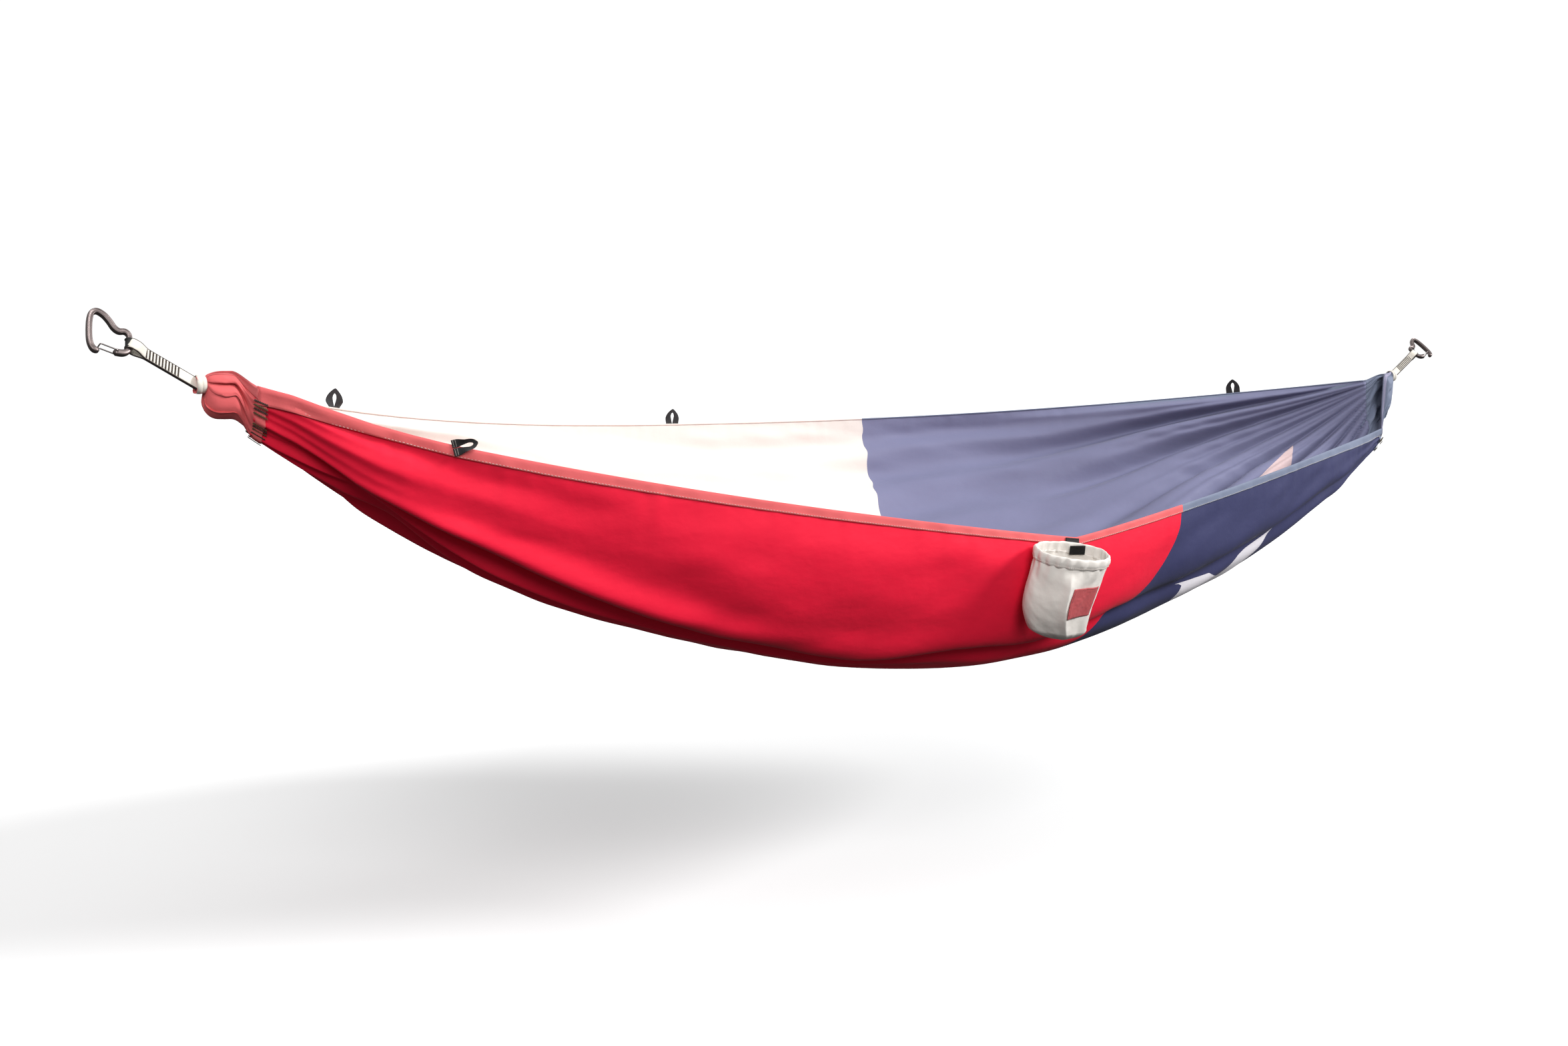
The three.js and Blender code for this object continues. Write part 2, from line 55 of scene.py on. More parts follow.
scene = bpy.context.scene


def add(name, data):
    ob = bpy.data.objects.new(name, data)
    scene.collection.objects.link(ob)
    return ob


cam_data = bpy.data.cameras.new("camera")
cam_data.lens, cam_data.sensor_width = LENS, 36.0
cam_data.clip_end = 200
camera = add("camera", cam_data)
camera.location = EYE
look = Vector((math.sin(YAW) * math.cos(PITCH), math.cos(YAW) * math.cos(PITCH), -math.sin(PITCH)))
camera.rotation_euler = look.to_track_quat("-Z", "Y").to_euler()
scene.camera = camera
scene.view_settings.view_transform = "Standard"


# ---- node materials
class Nodes:
    """A node tree built from expressions: g.math("ADD", a, b) and so on return sockets."""

    def __init__(self, tree):
        self.t = tree

    def put(self, socket, value):
        if isinstance(value, bpy.types.NodeSocket):
            self.t.links.new(value, socket)
        else:
            socket.default_value = value

    def node(self, kind, values=(), out=0, **props):
        n = self.t.nodes.new("ShaderNode" + kind)
        for k, v in props.items():
            setattr(n, k, v)
        for k, v in dict(values).items():
            self.put(n.inputs[k], v)
        return n.outputs[out]

    def math(self, op, a, b=.0, c=.0):
        return self.node("Math", {0: a, 1: b, 2: c}, operation=op)

    def mix(self, k, a, b):
        a, b = (v if isinstance(v, bpy.types.NodeSocket) else (*v, 1.0) for v in (a, b))
        return self.node("Mix", {0: k, 6: a, 7: b}, out=2, data_type="RGBA")

    def remap(self, x, a, b, c, d, **props):
        return self.node("MapRange", {0: x, 1: a, 2: b, 3: c, 4: d}, **props)

    def xyz(self, vector):
        return self.node("SeparateXYZ", {0: vector}).node.outputs

    def uv(self, name):
        return self.xyz(self.node("UVMap", uv_map=name))[:2]

    def place(self):
        return self.node("TexCoord", out=3)

    def noise(self, where, scale, detail=3.0, rough=.5, stretch=None):
        if stretch:
            where = self.node("Mapping", {0: where, 3: stretch})
        return self.node("TexNoise", {"Vector": where, "Scale": scale, "Detail": detail, "Roughness": rough})


class Graph(Nodes):
    def __init__(self, name):
        self.m = bpy.data.materials.new(name)
        self.m.use_nodes = True
        super().__init__(self.m.node_tree)
        self.t.nodes.clear()
        out = self.t.nodes.new("ShaderNodeOutputMaterial")
        self.b = self.t.nodes.new("ShaderNodeBsdfPrincipled")
        self.put(out.inputs[0], self.b.outputs[0])

    def finish(self, colour, rough=.6, bumps=(), metal=.0, **sockets):
        names = {"sheen": "Sheen Weight", "sheen_rough": "Sheen Roughness", "spec": "Specular IOR Level",
                 "coat": "Coat Weight", "coat_rough": "Coat Roughness"}
        self.put(self.b.inputs["Base Color"], colour)
        self.put(self.b.inputs["Roughness"], rough)
        self.put(self.b.inputs["Metallic"], metal)
        for k, v in sockets.items():
            self.b.inputs[names[k]].default_value = v
        chain = {}
        for height, strength, distance in bumps:
            values = {"Height": height, "Strength": strength, "Distance": distance, **chain}
            chain = {"Normal": self.node("Bump", values)}
        for k, normal in chain.items():
            self.put(self.b.inputs[k], normal)
        return self.m


def weave(g, pitch):
    """Over and under threads, height 0 to 1, at a pitch in metres, from the cloth's own coordinates."""
    u, v = g.uv("weave")
    k = math.pi / pitch
    a = g.math("SINE", g.math("MULTIPLY", u, k))
    b = g.math("SINE", g.math("MULTIPLY", v, k))
    return g.math("MULTIPLY_ADD", g.math("MULTIPLY", a, b), .5, .5)


# the print, in linear colour: outside as dyed, reverse side paler
RED, NAVY, WHITE = (.84, .012, .045), (.043, .046, .122), (.80, .77, .82)
PINK, SLATE, CREAM = (.68, .155, .16), (.185, .190, .305), (.75, .69, .645)
STAR = dict(p=.435, q=.708, r=.30, turn=math.radians(14))
MID_Q = .70  # where the front and back halves meet


def flag(g, front, back, hoist, star, uv="print"):
    """The print's colour: hoist where P > 0 with a star in it, and two halves that meet at mid width."""
    p, q = g.uv(uv)
    dp, dq = g.math("SUBTRACT", p, STAR["p"]), g.math("SUBTRACT", q, STAR["q"])
    r = g.math("SQRT", g.math("ADD", g.math("MULTIPLY", dp, dp), g.math("MULTIPLY", dq, dq)))
    fifth = 2 * math.pi / 5
    a = g.math("ADD", g.math("ARCTAN2", dp, dq), 2 * math.pi + fifth / 2 - STAR["turn"])
    a = g.math("ABSOLUTE", g.math("SUBTRACT", g.math("MODULO", a, fifth), fifth / 2))
    edge = g.math("MULTIPLY", r, g.math("COSINE", g.math("SUBTRACT", fifth, a)))
    inside = g.math("LESS_THAN", edge, STAR["r"] * math.cos(fifth))
    half = g.math("GREATER_THAN", q, MID_Q)
    on_hoist = g.math("GREATER_THAN", p, .0)
    return g.mix(on_hoist, g.mix(half, front, back), g.mix(inside, hoist, star))


def cloth_material(name, colours, sheen, shade=.10, uv="print"):
    g = Graph(name)
    base = flag(g, *colours, uv)
    where = g.place()
    blotch = g.noise(where, 2.2, 3.0)
    fine = g.noise(where, 60.0, 4.0)
    k = g.math("MULTIPLY", g.remap(blotch, .3, .7, .0, 1.0), shade)
    dark = g.node("HueSaturation", {"Value": .80, "Saturation": 1.04, "Color": base})
    colour = g.mix(k, base, dark)
    slub = g.noise(where, 900.0, 2.0, stretch=(.06, 1.0, 1.0))
    colour = g.mix(g.remap(slub, .35, .75, .0, .10), colour, dark)
    rough = g.remap(fine, .3, .7, .52, .66)
    soft = g.noise(where, 9.0, 4.0, .55, stretch=(.45, 1.0, 1.0))
    crumple = g.noise(where, 38.0, 4.0, .6)
    bumps = [(soft, .42, .008), (crumple, .30, .0020), (weave(g, .0009), .25, .00012)]
    return g.finish(colour, rough, bumps, sheen=sheen, sheen_rough=.45, spec=.16)


M_PRINT = cloth_material("cloth_print", (RED, WHITE, NAVY, WHITE), .03)
M_REVERSE = cloth_material("cloth_reverse", (PINK, CREAM, SLATE, (.62, .47, .47)), .06, .16, "inside")


# ---- the bed's surface: the same rails and section as the frame, in metres
THROAT_X, SEAM_X, KEEL_V = 1.300, 1.235, .28


def mix(a, b, k):
    return a + (b - a) * k


def smooth(a, b, x):
    k = np.clip((x - a) / (b - a), 0, 1)
    return k * k * (3 - 2 * k)


def bell(x, width):
    return np.exp(-(x / width) ** 2)


def alike(*values):
    """The values as float arrays of one shape."""
    return np.broadcast_arrays(*(np.asarray(q, float) for q in values))


def rails(t):
    """The front rim, the keel and the back rim at station t."""
    e, side = np.abs(t), (t + 1) / 2
    bow = lambda power: 1 - e ** power
    x = SEAM_X * t
    F = np.stack([x, mix(-.024, -.300, bow(1.55)),
                  mix(mix(-.024, -.113, side), -.225, bow(1.4)) - .028 * np.exp(-e / .25)], -1)
    K = np.stack([x, mix(0, -.096, bow(2)), mix(mix(-.069, -.185, side), -.480, bow(2.1)) + .016 * t * bow(2)
                  + .017 * bell(t - .4, .26) + .024 * bell(t - .7, .18)
                  + .026 * bell(t - 1.02, .13)], -1)
    B = np.stack([x, mix(.020, .650, bow(2.25)), mix(-.009, -.094, bow(2.4))], -1)
    return F, K, B


def bed(t, v):
    """Points of the cloth at station t (-1 left seam to 1 right seam), v (0 front rim to 1 back rim)."""
    t, v = alike(t, v)
    F, K, B = rails(t)
    front = (v < KEEL_V)[..., None]
    w = np.where(front[..., 0], K[..., 1] - F[..., 1], B[..., 1] - K[..., 1])
    h = np.where(front[..., 0], F[..., 2] - K[..., 2], B[..., 2] - K[..., 2])
    o = np.zeros_like(w)
    c0, c3 = np.where(front, F, K), np.where(front, K, B)
    c1 = np.where(front, F + np.stack([o, -.06 * h, -.5 * h], -1), K + np.stack([o, .5 * w, o], -1))
    c2 = np.where(front, K + np.stack([o, -.72 * w, o], -1), B + np.stack([o, .02 * w, -.5 * h], -1))
    s = np.where(front[..., 0], v / KEEL_V, (v - KEEL_V) / (1 - KEEL_V))[..., None]
    r = 1 - s
    return c0 * r ** 3 + c1 * 3 * r * r * s + c2 * 3 * r * s * s + c3 * s ** 3


def circle(n):
    return np.linspace(0, 2 * np.pi, n, endpoint=False)


def unit(a):
    return a / np.maximum(np.linalg.norm(a, axis=-1, keepdims=True), 1e-12)


def outward(t, v, e=.002):
    t, v = alike(t, v)
    along = bed(np.minimum(1, t + e), v) - bed(np.maximum(-1, t - e), v)
    across = bed(t, np.minimum(1, v + e)) - bed(t, np.maximum(0, v - e))
    return unit(np.cross(across, along))


def off(t, v, d):
    return bed(t, v) + outward(t, v) * np.asarray(d, float)[..., None]


def girth(t):
    q = bed(np.asarray(t, float)[..., None], np.linspace(0, 1, 161))
    return np.linalg.norm(np.diff(q, axis=-2), axis=-1).sum(-1)


# ---- repeatable noise
def noise1(x, seed):
    table = np.random.default_rng(seed).random(4096)
    i = np.floor(x).astype(int)
    f = x - i
    f = f * f * (3 - 2 * f)
    return mix(table[i % 4096], table[(i + 1) % 4096], f) * 2 - 1


def noise2(x, y, seed):
    table = np.random.default_rng(seed).random((256, 256))
    i, j = np.floor(x).astype(int), np.floor(y).astype(int)
    f, g = x - i, y - j
    f, g = f * f * (3 - 2 * f), g * g * (3 - 2 * g)
    at = lambda a, b: table[a % 256, b % 256]
    return mix(mix(at(i, j), at(i + 1, j), f), mix(at(i, j + 1), at(i + 1, j + 1), f), g) * 2 - 1


# ---- folds of the cloth: how far it lies inside the smooth surface
CREASE = np.array([(-1, .125), (-.9, .20), (-.74, .205), (-.63, .212), (-.5, .222), (-.3, .215), (-.155, .18),
                   (-.03, .168), (.105, .132), (.25, .128), (.4, .121), (.6, .12), (1, .12)])
# at each end: how many pleats, how deep (a share of the girth), where they start, and their seed
GATHERS = {-1: (12, .056, .36, 3), 1: (10, .016, .34, 8)}
FAN = 7.4  # pleats per radian round the right throat


def ridge(x, power):
    return (.5 - .5 * np.cos(x)) ** power


def folds(t, v):
    t, v = alike(t, v)
    g = np.interp(t, TT, GG)
    d = np.zeros_like(t)
    rim = smooth(.0, .05, v) * smooth(1, .955, v)
    for side, (n, amp, begin, seed) in GATHERS.items():
        e = np.clip(t * side, 0, 1)
        drift = .018 * noise1(e * 3 + 7, seed) + .010 * np.sin(5 * v + 9 * e)
        lane = n * (v + drift) + .25 * noise1(v * n * .6 + 40, seed + 1)
        start = begin + .22 * noise1(np.floor(lane) * 1.7 + .5, seed + 2)
        start = start + .12 * noise1(lane * .9 + 3, seed + 3)
        grow = smooth(0, 1, (e - start) / np.maximum(.15, 1.0 - start)) ** .8
        tall = 1 + .45 * noise1(lane * .5 + 11, seed + 4)
        front = mix(.30, 1.0, smooth(.10, .19, v))
        back = mix(1.0, .55, smooth(.62, .95, v))
        if side > 0:  # the fan below takes over inside the right end
            back = back * smooth(.40, .27, v)
        d += amp * g * grow * tall * ridge(2 * np.pi * lane, .85) * front * back * rim
        # a finer second set close to the seam
        near = smooth(.80, 1.0, e)
        d += .010 * g * near * ridge(2 * np.pi * (lane * 2.3 + .3), .8) * rim * (back if side > 0 else 1)
    # inside the right end the back wall's pleats fan out from the throat
    a, b = from_throat(bed(t, v))
    far, fan = np.hypot(a, b), np.arctan2(-b, -a)
    lane = FAN * fan + .25 * noise1(fan * 5 + 3, 81) + .08 * noise1(far * 3 + 40, 82)
    size = .75 + .45 * noise1(lane * .8 + 20.5, 83)
    d += (.125 * far * smooth(.95, .45, far) * size * (1 - ridge(2 * np.pi * lane, 2.6))
          * smooth(.26, .36, v) * smooth(1, .965, v) * smooth(.30, .50, t))
    d += .018 * far * smooth(.75, .30, far) * (1 - ridge(2 * np.pi * (lane * 2 + .3), 2)) \
        * smooth(.26, .36, v) * smooth(1, .96, v) * smooth(.45, .65, t)
    # the long under-fold: the front wall overhangs it
    s = (v - np.interp(t, *CREASE.T)) * g
    deep = mix(.040, .012, smooth(-.35, .15, t)) * smooth(1.0, .86, np.abs(t))
    d += deep * bell(s - .016, .020) - .35 * deep * bell(s + .030, .034)
    d += .018 * smooth(-.02, -.45, t) * smooth(-1, -.88, t) * bell(s - .070, .017)
    # long soft swags on the back wall, which close up towards the right end
    swag = smooth(.50, .72, v) * smooth(1, .90, v) * smooth(-1, -.55, t) * smooth(.75, .45, t)
    line = v + .14 * smooth(0, .9, t) * (1.05 - v)
    d += swag * (.0075 * np.sin(2 * np.pi * (line * 9.2 + .25 * noise1(t * 2.2 + 30, 21)))
                 + .003 * noise2(t * 5 + 20, line * 26, 22))
    # broad slack and small crumples everywhere, puckers along the seams
    rim = rim * smooth(1.0, .78, np.abs(t))
    d += .005 * noise2(t * 4.3 + 50, v * 7 + 3 + t * 1.5, 23) * rim
    d += .0021 * noise2(t * 15 + 60, v * 34 + t * 9, 24) * rim
    d += .0026 * noise2(t * 7 + v * 5 + 60, v * 15 - t * 4 + 30, 27) * rim * smooth(.5, .3, v)
    for edge, seed in ((v * g, 25), ((1 - v) * g, 26)):
        d += .0013 * noise1(t * SEAM_X / .016 + 500, seed) * np.exp(-edge / .035) * smooth(0, .012, edge)
    return d


LEFT_T = (-1, -.964, -.925, -.885, -.846, -.80)  # stations where the left end of the front rim is shaped
TT = np.linspace(-1, 1, 201)
GG = girth(TT)


def skin(t, v, out=.0):
    """The folded cloth's surface, out metres outside it; the front rim is drawn up at the left end."""
    rise = np.interp(t, LEFT_T, (.021, .019, .011, .005, .002, 0)) * smooth(.34, .06, np.asarray(v, float))
    return off(t, v, out - folds(t, v)) + np.stack([0 * rise, 0 * rise, rise], -1)


def skin_normal(t, v, e=.0015):
    t, v = alike(t, v)
    along = skin(np.minimum(1, t + e), v) - skin(np.maximum(-1, t - e), v)
    across = skin(t, np.minimum(1, v + e)) - skin(t, np.maximum(0, v - e))
    return unit(np.cross(across, along))


# ---- meshes
def mesh_object(name, verts, faces, mats, face_mats=None, uvs=None, smooth_shade=True):
    """uvs: {map name: one (u, v) per vertex}"""
    me = bpy.data.meshes.new(name)
    me.from_pydata([tuple(map(float, p)) for p in verts], [], [tuple(map(int, f)) for f in faces])
    for m in mats if isinstance(mats, (list, tuple)) else [mats]:
        me.materials.append(m)
    if face_mats is not None:
        me.polygons.foreach_set("material_index", np.asarray(face_mats, np.int32))
    loops = np.zeros(len(me.loops), np.int32)
    me.loops.foreach_get("vertex_index", loops)
    for key, uv in (uvs or {}).items():
        layer = me.uv_layers.new(name=key)
        layer.data.foreach_set("uv", np.asarray(uv, np.float32).reshape(-1, 2)[loops].ravel())
    me.polygons.foreach_set("use_smooth", [smooth_shade] * len(me.polygons))
    me.update()
    return add(name, me)


def grid(a, b):
    """Pairs (a, b) over two ranges, as (len(a), len(b), 2)."""
    return np.stack(np.meshgrid(a, b, indexing="ij"), -1)


def grid_faces(n, m, start=0, flip=False, wrap=False):
    i, j = np.meshgrid(np.arange(n - 1), np.arange(m if wrap else m - 1), indexing="ij")
    a = start + i * m + j
    b = start + i * m + (j + 1) % m
    c, d = b + m, a + m
    return np.stack([a, d, c, b] if flip else [a, b, c, d], -1).reshape(-1, 4)


def shell(name, outer, inner, mats, uvs=None, closed_v=False, flip=False):
    """A closed thin shell between two grids (n, m, 3); the first material outside, the second inside."""
    n, m = outer.shape[:2]
    N = n * m
    verts = np.concatenate([outer.reshape(-1, 3), inner.reshape(-1, 3)])
    fo, fi = grid_faces(n, m, 0, flip, closed_v), grid_faces(n, m, N, not flip, closed_v)
    edges = [(i == 0, [i * m + j for j in range(m)] + [i * m] * closed_v) for i in (0, n - 1)]
    edges += [(j > 0, [i * m + j for i in range(n)]) for j in (0, m - 1) if not closed_v]
    rim = [(a, a + N, b + N, b) if first != flip else (b, b + N, a + N, a)
           for first, row in edges for a, b in zip(row, row[1:])]
    faces = np.concatenate([fo, fi, np.array(rim)])
    index = np.where(np.arange(len(faces)) < len(fo), 0, len(mats) - 1)
    both = {k: np.concatenate([u.reshape(-1, 2)] * 2) for k, u in (uvs or {}).items()}
    return mesh_object(name, verts, faces, mats, index, both)


# the print's edge: where the hoist begins, as a distance along X at each place across the cloth
HOIST = np.array([(0, .290), (.028, .284), (.05, .272), (.078, .247), (.10, .222), (.128, .173), (.145, .142),
                  (.18, .10), (.21, .065), (.28, .040), (.40, .120), (.55, .250), (.62, .272), (.728, .266),
                  (.81, .290), (.88, .303), (.96, .309), (1, .303)])
FLAT_V = np.array([(0, 0), (.12, .13), (.15, .40), (.575, .79), (1, 1)])  # share of the flat cloth's width
FLAT_END = np.array([(0, 0), (.62, .53), (1, 1)])  # and near the right end
CLOTH_W = 1.40  # the width in the print's own coordinates


def from_throat(p):
    """Where points stand against the right throat as seen from the eye: metres to its right and above."""
    to = np.array(look)
    right = np.array([math.cos(YAW), -math.sin(YAW), .0])
    up = np.cross(right, to)
    q, t0 = p - np.array(EYE), np.array([THROAT_X, 0, 0]) - np.array(EYE)
    far = t0 @ to
    return tuple((q @ axis / (q @ to) - t0 @ axis / far) * far for axis in (right, up))


def print_uv(t, v, inside=False, star=True):
    """The print's coordinates: P from the hoist's edge along the cloth, Q across it."""
    t, v = alike(t, v)
    x = SEAM_X * t
    wave = .006 * noise1(v * 17, 31) * smooth(.5, .7, v) + .004 * noise1(v * 40, 32) * smooth(.12, .2, v)
    across = mix(v, np.interp(v, *FLAT_V.T), smooth(-.15, .25, t))
    across = mix(across, np.interp(v, *FLAT_END.T), smooth(.66, .84, t))
    P, Q = x - np.interp(v, *HOIST.T) - wave, CLOTH_W * across
    # the front half's cloth is turned under, and over the back rim, where the left end is gathered
    if not inside:
        return np.stack([P, Q * mix(1, .55, smooth(-.30, -.55, t))], -1)
    Q = Q * mix(1, .46, smooth(-.80, -.86, t + .03 * noise1(v * 30, 33)))
    Q = mix(Q, 1.3, smooth(0, .06, P))
    P = np.minimum(P, .06)
    if star:  # one arm of the star shows over the front rim, drawn up with the gathered right end
        a, b = from_throat(bed(t, v))
        lean = math.radians(8.5)
        a, b, k = a + .335, b + .442, smooth(-.47, -.40, a) * smooth(.2, .35, t)
        P = mix(P, STAR["p"] + a * math.cos(lean) - b * math.sin(lean), k)
        Q = mix(Q, STAR["q"] + b * math.cos(lean) + a * math.sin(lean), k)
    return np.stack([P, Q], -1)


STATIONS, ACROSS = ((430, 230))
CLOTH_T = .0006
ti = np.linspace(-1, 1, STATIONS)
ti = ti * .72 + .28 * np.sin(ti * np.pi / 2)
vi = np.linspace(0, 1, ACROSS)
T, VV = np.meshgrid(ti, vi, indexing="ij")
outer = skin(T, VV)
cloth = shell("bed_sheet", outer, outer - skin_normal(T, VV) * CLOTH_T, [M_PRINT, M_REVERSE],
              {"print": print_uv(T, VV), "weave": grid(SEAM_X * ti, CLOTH_W * vi),
               "inside": print_uv(T, VV, True)}, flip=True)
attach(cloth, "bed")
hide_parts("bed_cloth")


# ---- sweeps
def ring_mesh(name, rings, mats, uvs=None, loop=False, caps=True, flip=False):
    """A skin through rings of points (n, m, 3), each ring closed; loop joins the last ring to the first."""
    rings = np.asarray(rings, float)
    n, m = rings.shape[:2]
    faces = list(grid_faces(n + 1 if loop else n, m, 0, flip, True) % (n * m))
    if caps and not loop:
        first, last = list(range(m)), [(n - 1) * m + k for k in range(m)]
        faces += [tuple(first if flip else first[::-1]), tuple(last[::-1] if flip else last)]
    return mesh_object(name, rings.reshape(-1, 3), faces, mats, None, uvs)


def tube(name, path, radius, mats, sides=12, loop=False, flat=1.0, side=None):
    """A round rod along a path; flat squashes it across the given side direction."""
    path = np.asarray(path, float)
    tan = unit(np.roll(path, -1, 0) - np.roll(path, 1, 0)) if loop else unit(np.gradient(path, axis=0))
    ref = np.array(side if side is not None else (.123, .456, .881))  # any direction no path runs along
    rad = np.broadcast_to(np.asarray(radius, float), len(path))
    x = unit(np.cross(tan, ref))
    y = np.cross(x, tan)
    a = circle(sides)
    rings = path[:, None] + rad[:, None, None] * (np.cos(a)[None, :, None] * x[:, None] * flat
                                                  + np.sin(a)[None, :, None] * y[:, None])
    return ring_mesh(name, rings, mats, loop=loop)


def distances(p):
    """How far along a line each of its points is."""
    return np.concatenate([[0], np.cumsum(np.linalg.norm(np.diff(p, axis=0), axis=1))])


def left_of(p):
    """Unit directions to the left of a line in a plane."""
    tan = unit(np.gradient(p, axis=0))
    return np.stack([-tan[:, 1], tan[:, 0]], 1)


def spline(points, steps):
    """Catmull-Rom points through the rows of an array."""
    p = np.vstack([2 * points[0] - points[1], points, 2 * points[-1] - points[-2]])
    out = []
    k = len(p) - 3
    for u in np.linspace(0, k, steps):
        i = min(int(u), k - 1)
        f = u - i
        a, b, c, d = p[i:i + 4]
        out.append(.5 * (2 * b + (c - a) * f + (2 * a - 5 * b + 4 * c - d) * f * f
                         + (3 * b - a - 3 * c + d) * f ** 3))
    return np.array(out)


def join(name, objects, weave_map=False):
    """One object from several, with their materials kept; weave_map gives a weave map to those without."""
    for o in objects if weave_map else ():
        if "weave" not in o.data.uv_layers:
            o.data.uv_layers.new(name="weave")
    bpy.ops.object.select_all(action="DESELECT")
    for o in objects:
        o.select_set(True)
    bpy.context.view_layer.objects.active = objects[0]
    bpy.ops.object.join()
    ob = bpy.context.view_layer.objects.active
    ob.name = ob.data.name = name
    return ob


def dashes(name, at, along, out, mat, long=.0030, wide=.00055, high=.0005, sway=.0):
    """Stitches: a small rounded bar at each point, along its direction, standing proud along out."""
    at, along, out = alike(at, along, out)
    along, out = unit(along), unit(out)
    across = unit(np.cross(out, along))
    if sway:
        s = np.where(np.arange(len(at)) % 2, sway, -sway)[:, None]
        along = unit(along + across * s)
        across = unit(np.cross(out, along))
    verts, faces = [], []
    shape = [(a * x, b * y, c) for x, y, c in ((.5, .5, 0), (.36, .28, 1))
             for a, b in ((-1, -1), (1, -1), (1, 1), (-1, 1))]
    quads = [(0, 3, 2, 1), (4, 5, 6, 7), (0, 1, 5, 4), (1, 2, 6, 5), (2, 3, 7, 6), (3, 0, 4, 7)]
    for k in range(len(at)):
        for a, b, c in shape:
            verts.append(at[k] + along[k] * a * long + across[k] * b * wide + out[k] * (c * high - .0002))
        faces += [tuple(8 * k + i for i in q) for q in quads]
    return mesh_object(name, verts, faces, mat, smooth_shade=False)


def fabric(name, base, dark, pitch, bump=.5, crease=.25, sheen=.1):
    """Plain woven cloth, webbing or ribbon: base and dark in linear colour, from object space."""
    g = Graph(name)
    where, threads = g.place(), weave(g, pitch)
    wear = g.remap(g.noise(where, 45.0, 5.0), .35, .7, .0, 1.0)
    colour = g.mix(g.math("MULTIPLY", wear, .5), base, dark)
    colour = g.mix(g.math("MULTIPLY", threads, .35), colour, dark)
    return g.finish(colour, g.remap(wear, .0, 1.0, .6, .75),
                    [(g.noise(where, 120.0, 4.0), crease, .0012), (threads, bump, .00018)],
                    sheen=sheen, sheen_rough=.5, spec=.25)


def metal(name, base, edge, rough, scratch=.35):
    """Metal with edge as the colour of its worn edges."""
    g = Graph(name)
    where = g.place()
    big = g.noise(where, 90.0, 4.0)
    fine = g.noise(where, 1400.0, 3.0, stretch=(1.0, .15, 1.0))
    worn = g.remap(g.node("NewGeometry", out=7), .54, .66, .0, 1.0)
    tone = g.mix(g.remap(big, .35, .7, .0, .6), base, tuple(c * .72 for c in base))
    colour = g.mix(g.math("MULTIPLY", worn, .7), tone, edge)
    bumps = [(fine, scratch, .00004), (big, .2, .0003)]
    return g.finish(colour, g.remap(fine, .3, .7, *rough), bumps, metal=.92)


M_WEB = fabric("webbing", (.86, .82, .74), (.62, .57, .49), .0011, .8, .1)
M_EDGE = fabric("webbing_edge", (.055, .04, .035), (.02, .015, .014), .0008)
M_THREAD = fabric("thread_dark", (.060, .042, .034), (.016, .012, .010), .0004)
M_OLIVE = fabric("thread_olive", (.12, .085, .035), (.035, .026, .014), .0004)
M_STITCH = fabric("thread_pale", (.80, .72, .66), (.55, .48, .44), .0004)
M_RIBBON = fabric("ribbon", (.022, .021, .023), (.008, .008, .009), .0007, .7, sheen=.15)
M_SACK = fabric("sack_cloth", (.81, .765, .715), (.71, .665, .615), .0007, .35, .35)
M_PATCH = fabric("patch_cloth", (.50, .085, .09), (.36, .05, .06), .0006)
M_LABEL = fabric("woven_label", (.012, .012, .013), (.004, .004, .005), .0005)
M_ALLOY = metal("anodised_alloy", (.19, .155, .150), (.46, .36, .36), (.34, .50), .15)
M_WIRE = metal("steel_wire", (.40, .36, .35), (.6, .56, .55), (.22, .36))
g = Graph("rubber")
M_RUBBER = g.finish(g.mix(g.noise(g.place(), 200.0), (.012, .012, .012), (.03, .03, .03)), .62,
                    [(g.noise(g.place(), 900.0), .3, .0002)], spec=.3)


# ---- hems
HEM_W, STITCH_PITCH = .0120, .0046
hem_t = np.linspace(-.997, .997, 520)


def hem(name, rim, sign):
    """A turned hem: under the inside of the rim, over the edge and down the outside."""
    g = np.interp(hem_t, TT, GG)
    left = smooth(-.66, -1.0, hem_t) if rim == 0 else 0 * hem_t  # twisted up by the gathers of the left end
    width = np.full_like(hem_t, HEM_W)
    if rim == 0:
        width = np.interp(hem_t, LEFT_T + (-.7,), (.012, .012, .011, .0095, .0095, .0105, HEM_W))
    lift = .0020 * left + .0006
    edge = skin(hem_t, rim)
    into = unit(skin(hem_t, rim + sign * .006) - edge)
    out = skin_normal(hem_t, np.full_like(hem_t, rim))
    wob = .0006 * noise1(hem_t * SEAM_X / .021 + 90, 41)
    rows = []
    for w, d in ((.45, -.0014), (.12, -.0019), (-.02, -.0014), (-.05, 0), (-.02, .0014)):
        rows.append(edge + into * (w * width)[:, None] * .5 - into * lift[:, None] + out * d)
    for w, d in ((.06, .0019), (.3, .0021), (.55, .0019), (.8, .0018), (.96, .0019), (1, .0013),
                 (.97, .0008)):
        v = rim + sign * w * width / g
        k = np.clip(1 - w * 1.3, 0, 1)
        puck = wob * (1 if w > .5 else .4)
        rows.append(skin(hem_t, v) - into * (lift * k)[:, None] + out * (d + .0012 * left + puck)[:, None])
    for w, d in ((.3, .0006), (.0, .0004), (.0, -.0006), (.3, -.0008)):
        rows.append(edge + into * (w * width)[:, None] * .5 - into * (lift * .9)[:, None] + out * d)
    rings = np.stack(rows, 1)
    v = np.full(rings.shape[:2], float(rim))
    uv = {"print": print_uv(hem_t[:, None], v, True, False),
          "weave": grid(SEAM_X * hem_t, np.arange(rings.shape[1]) * .0012)}
    return ring_mesh(name, rings, M_HEM, uv, flip=rim == 0), width


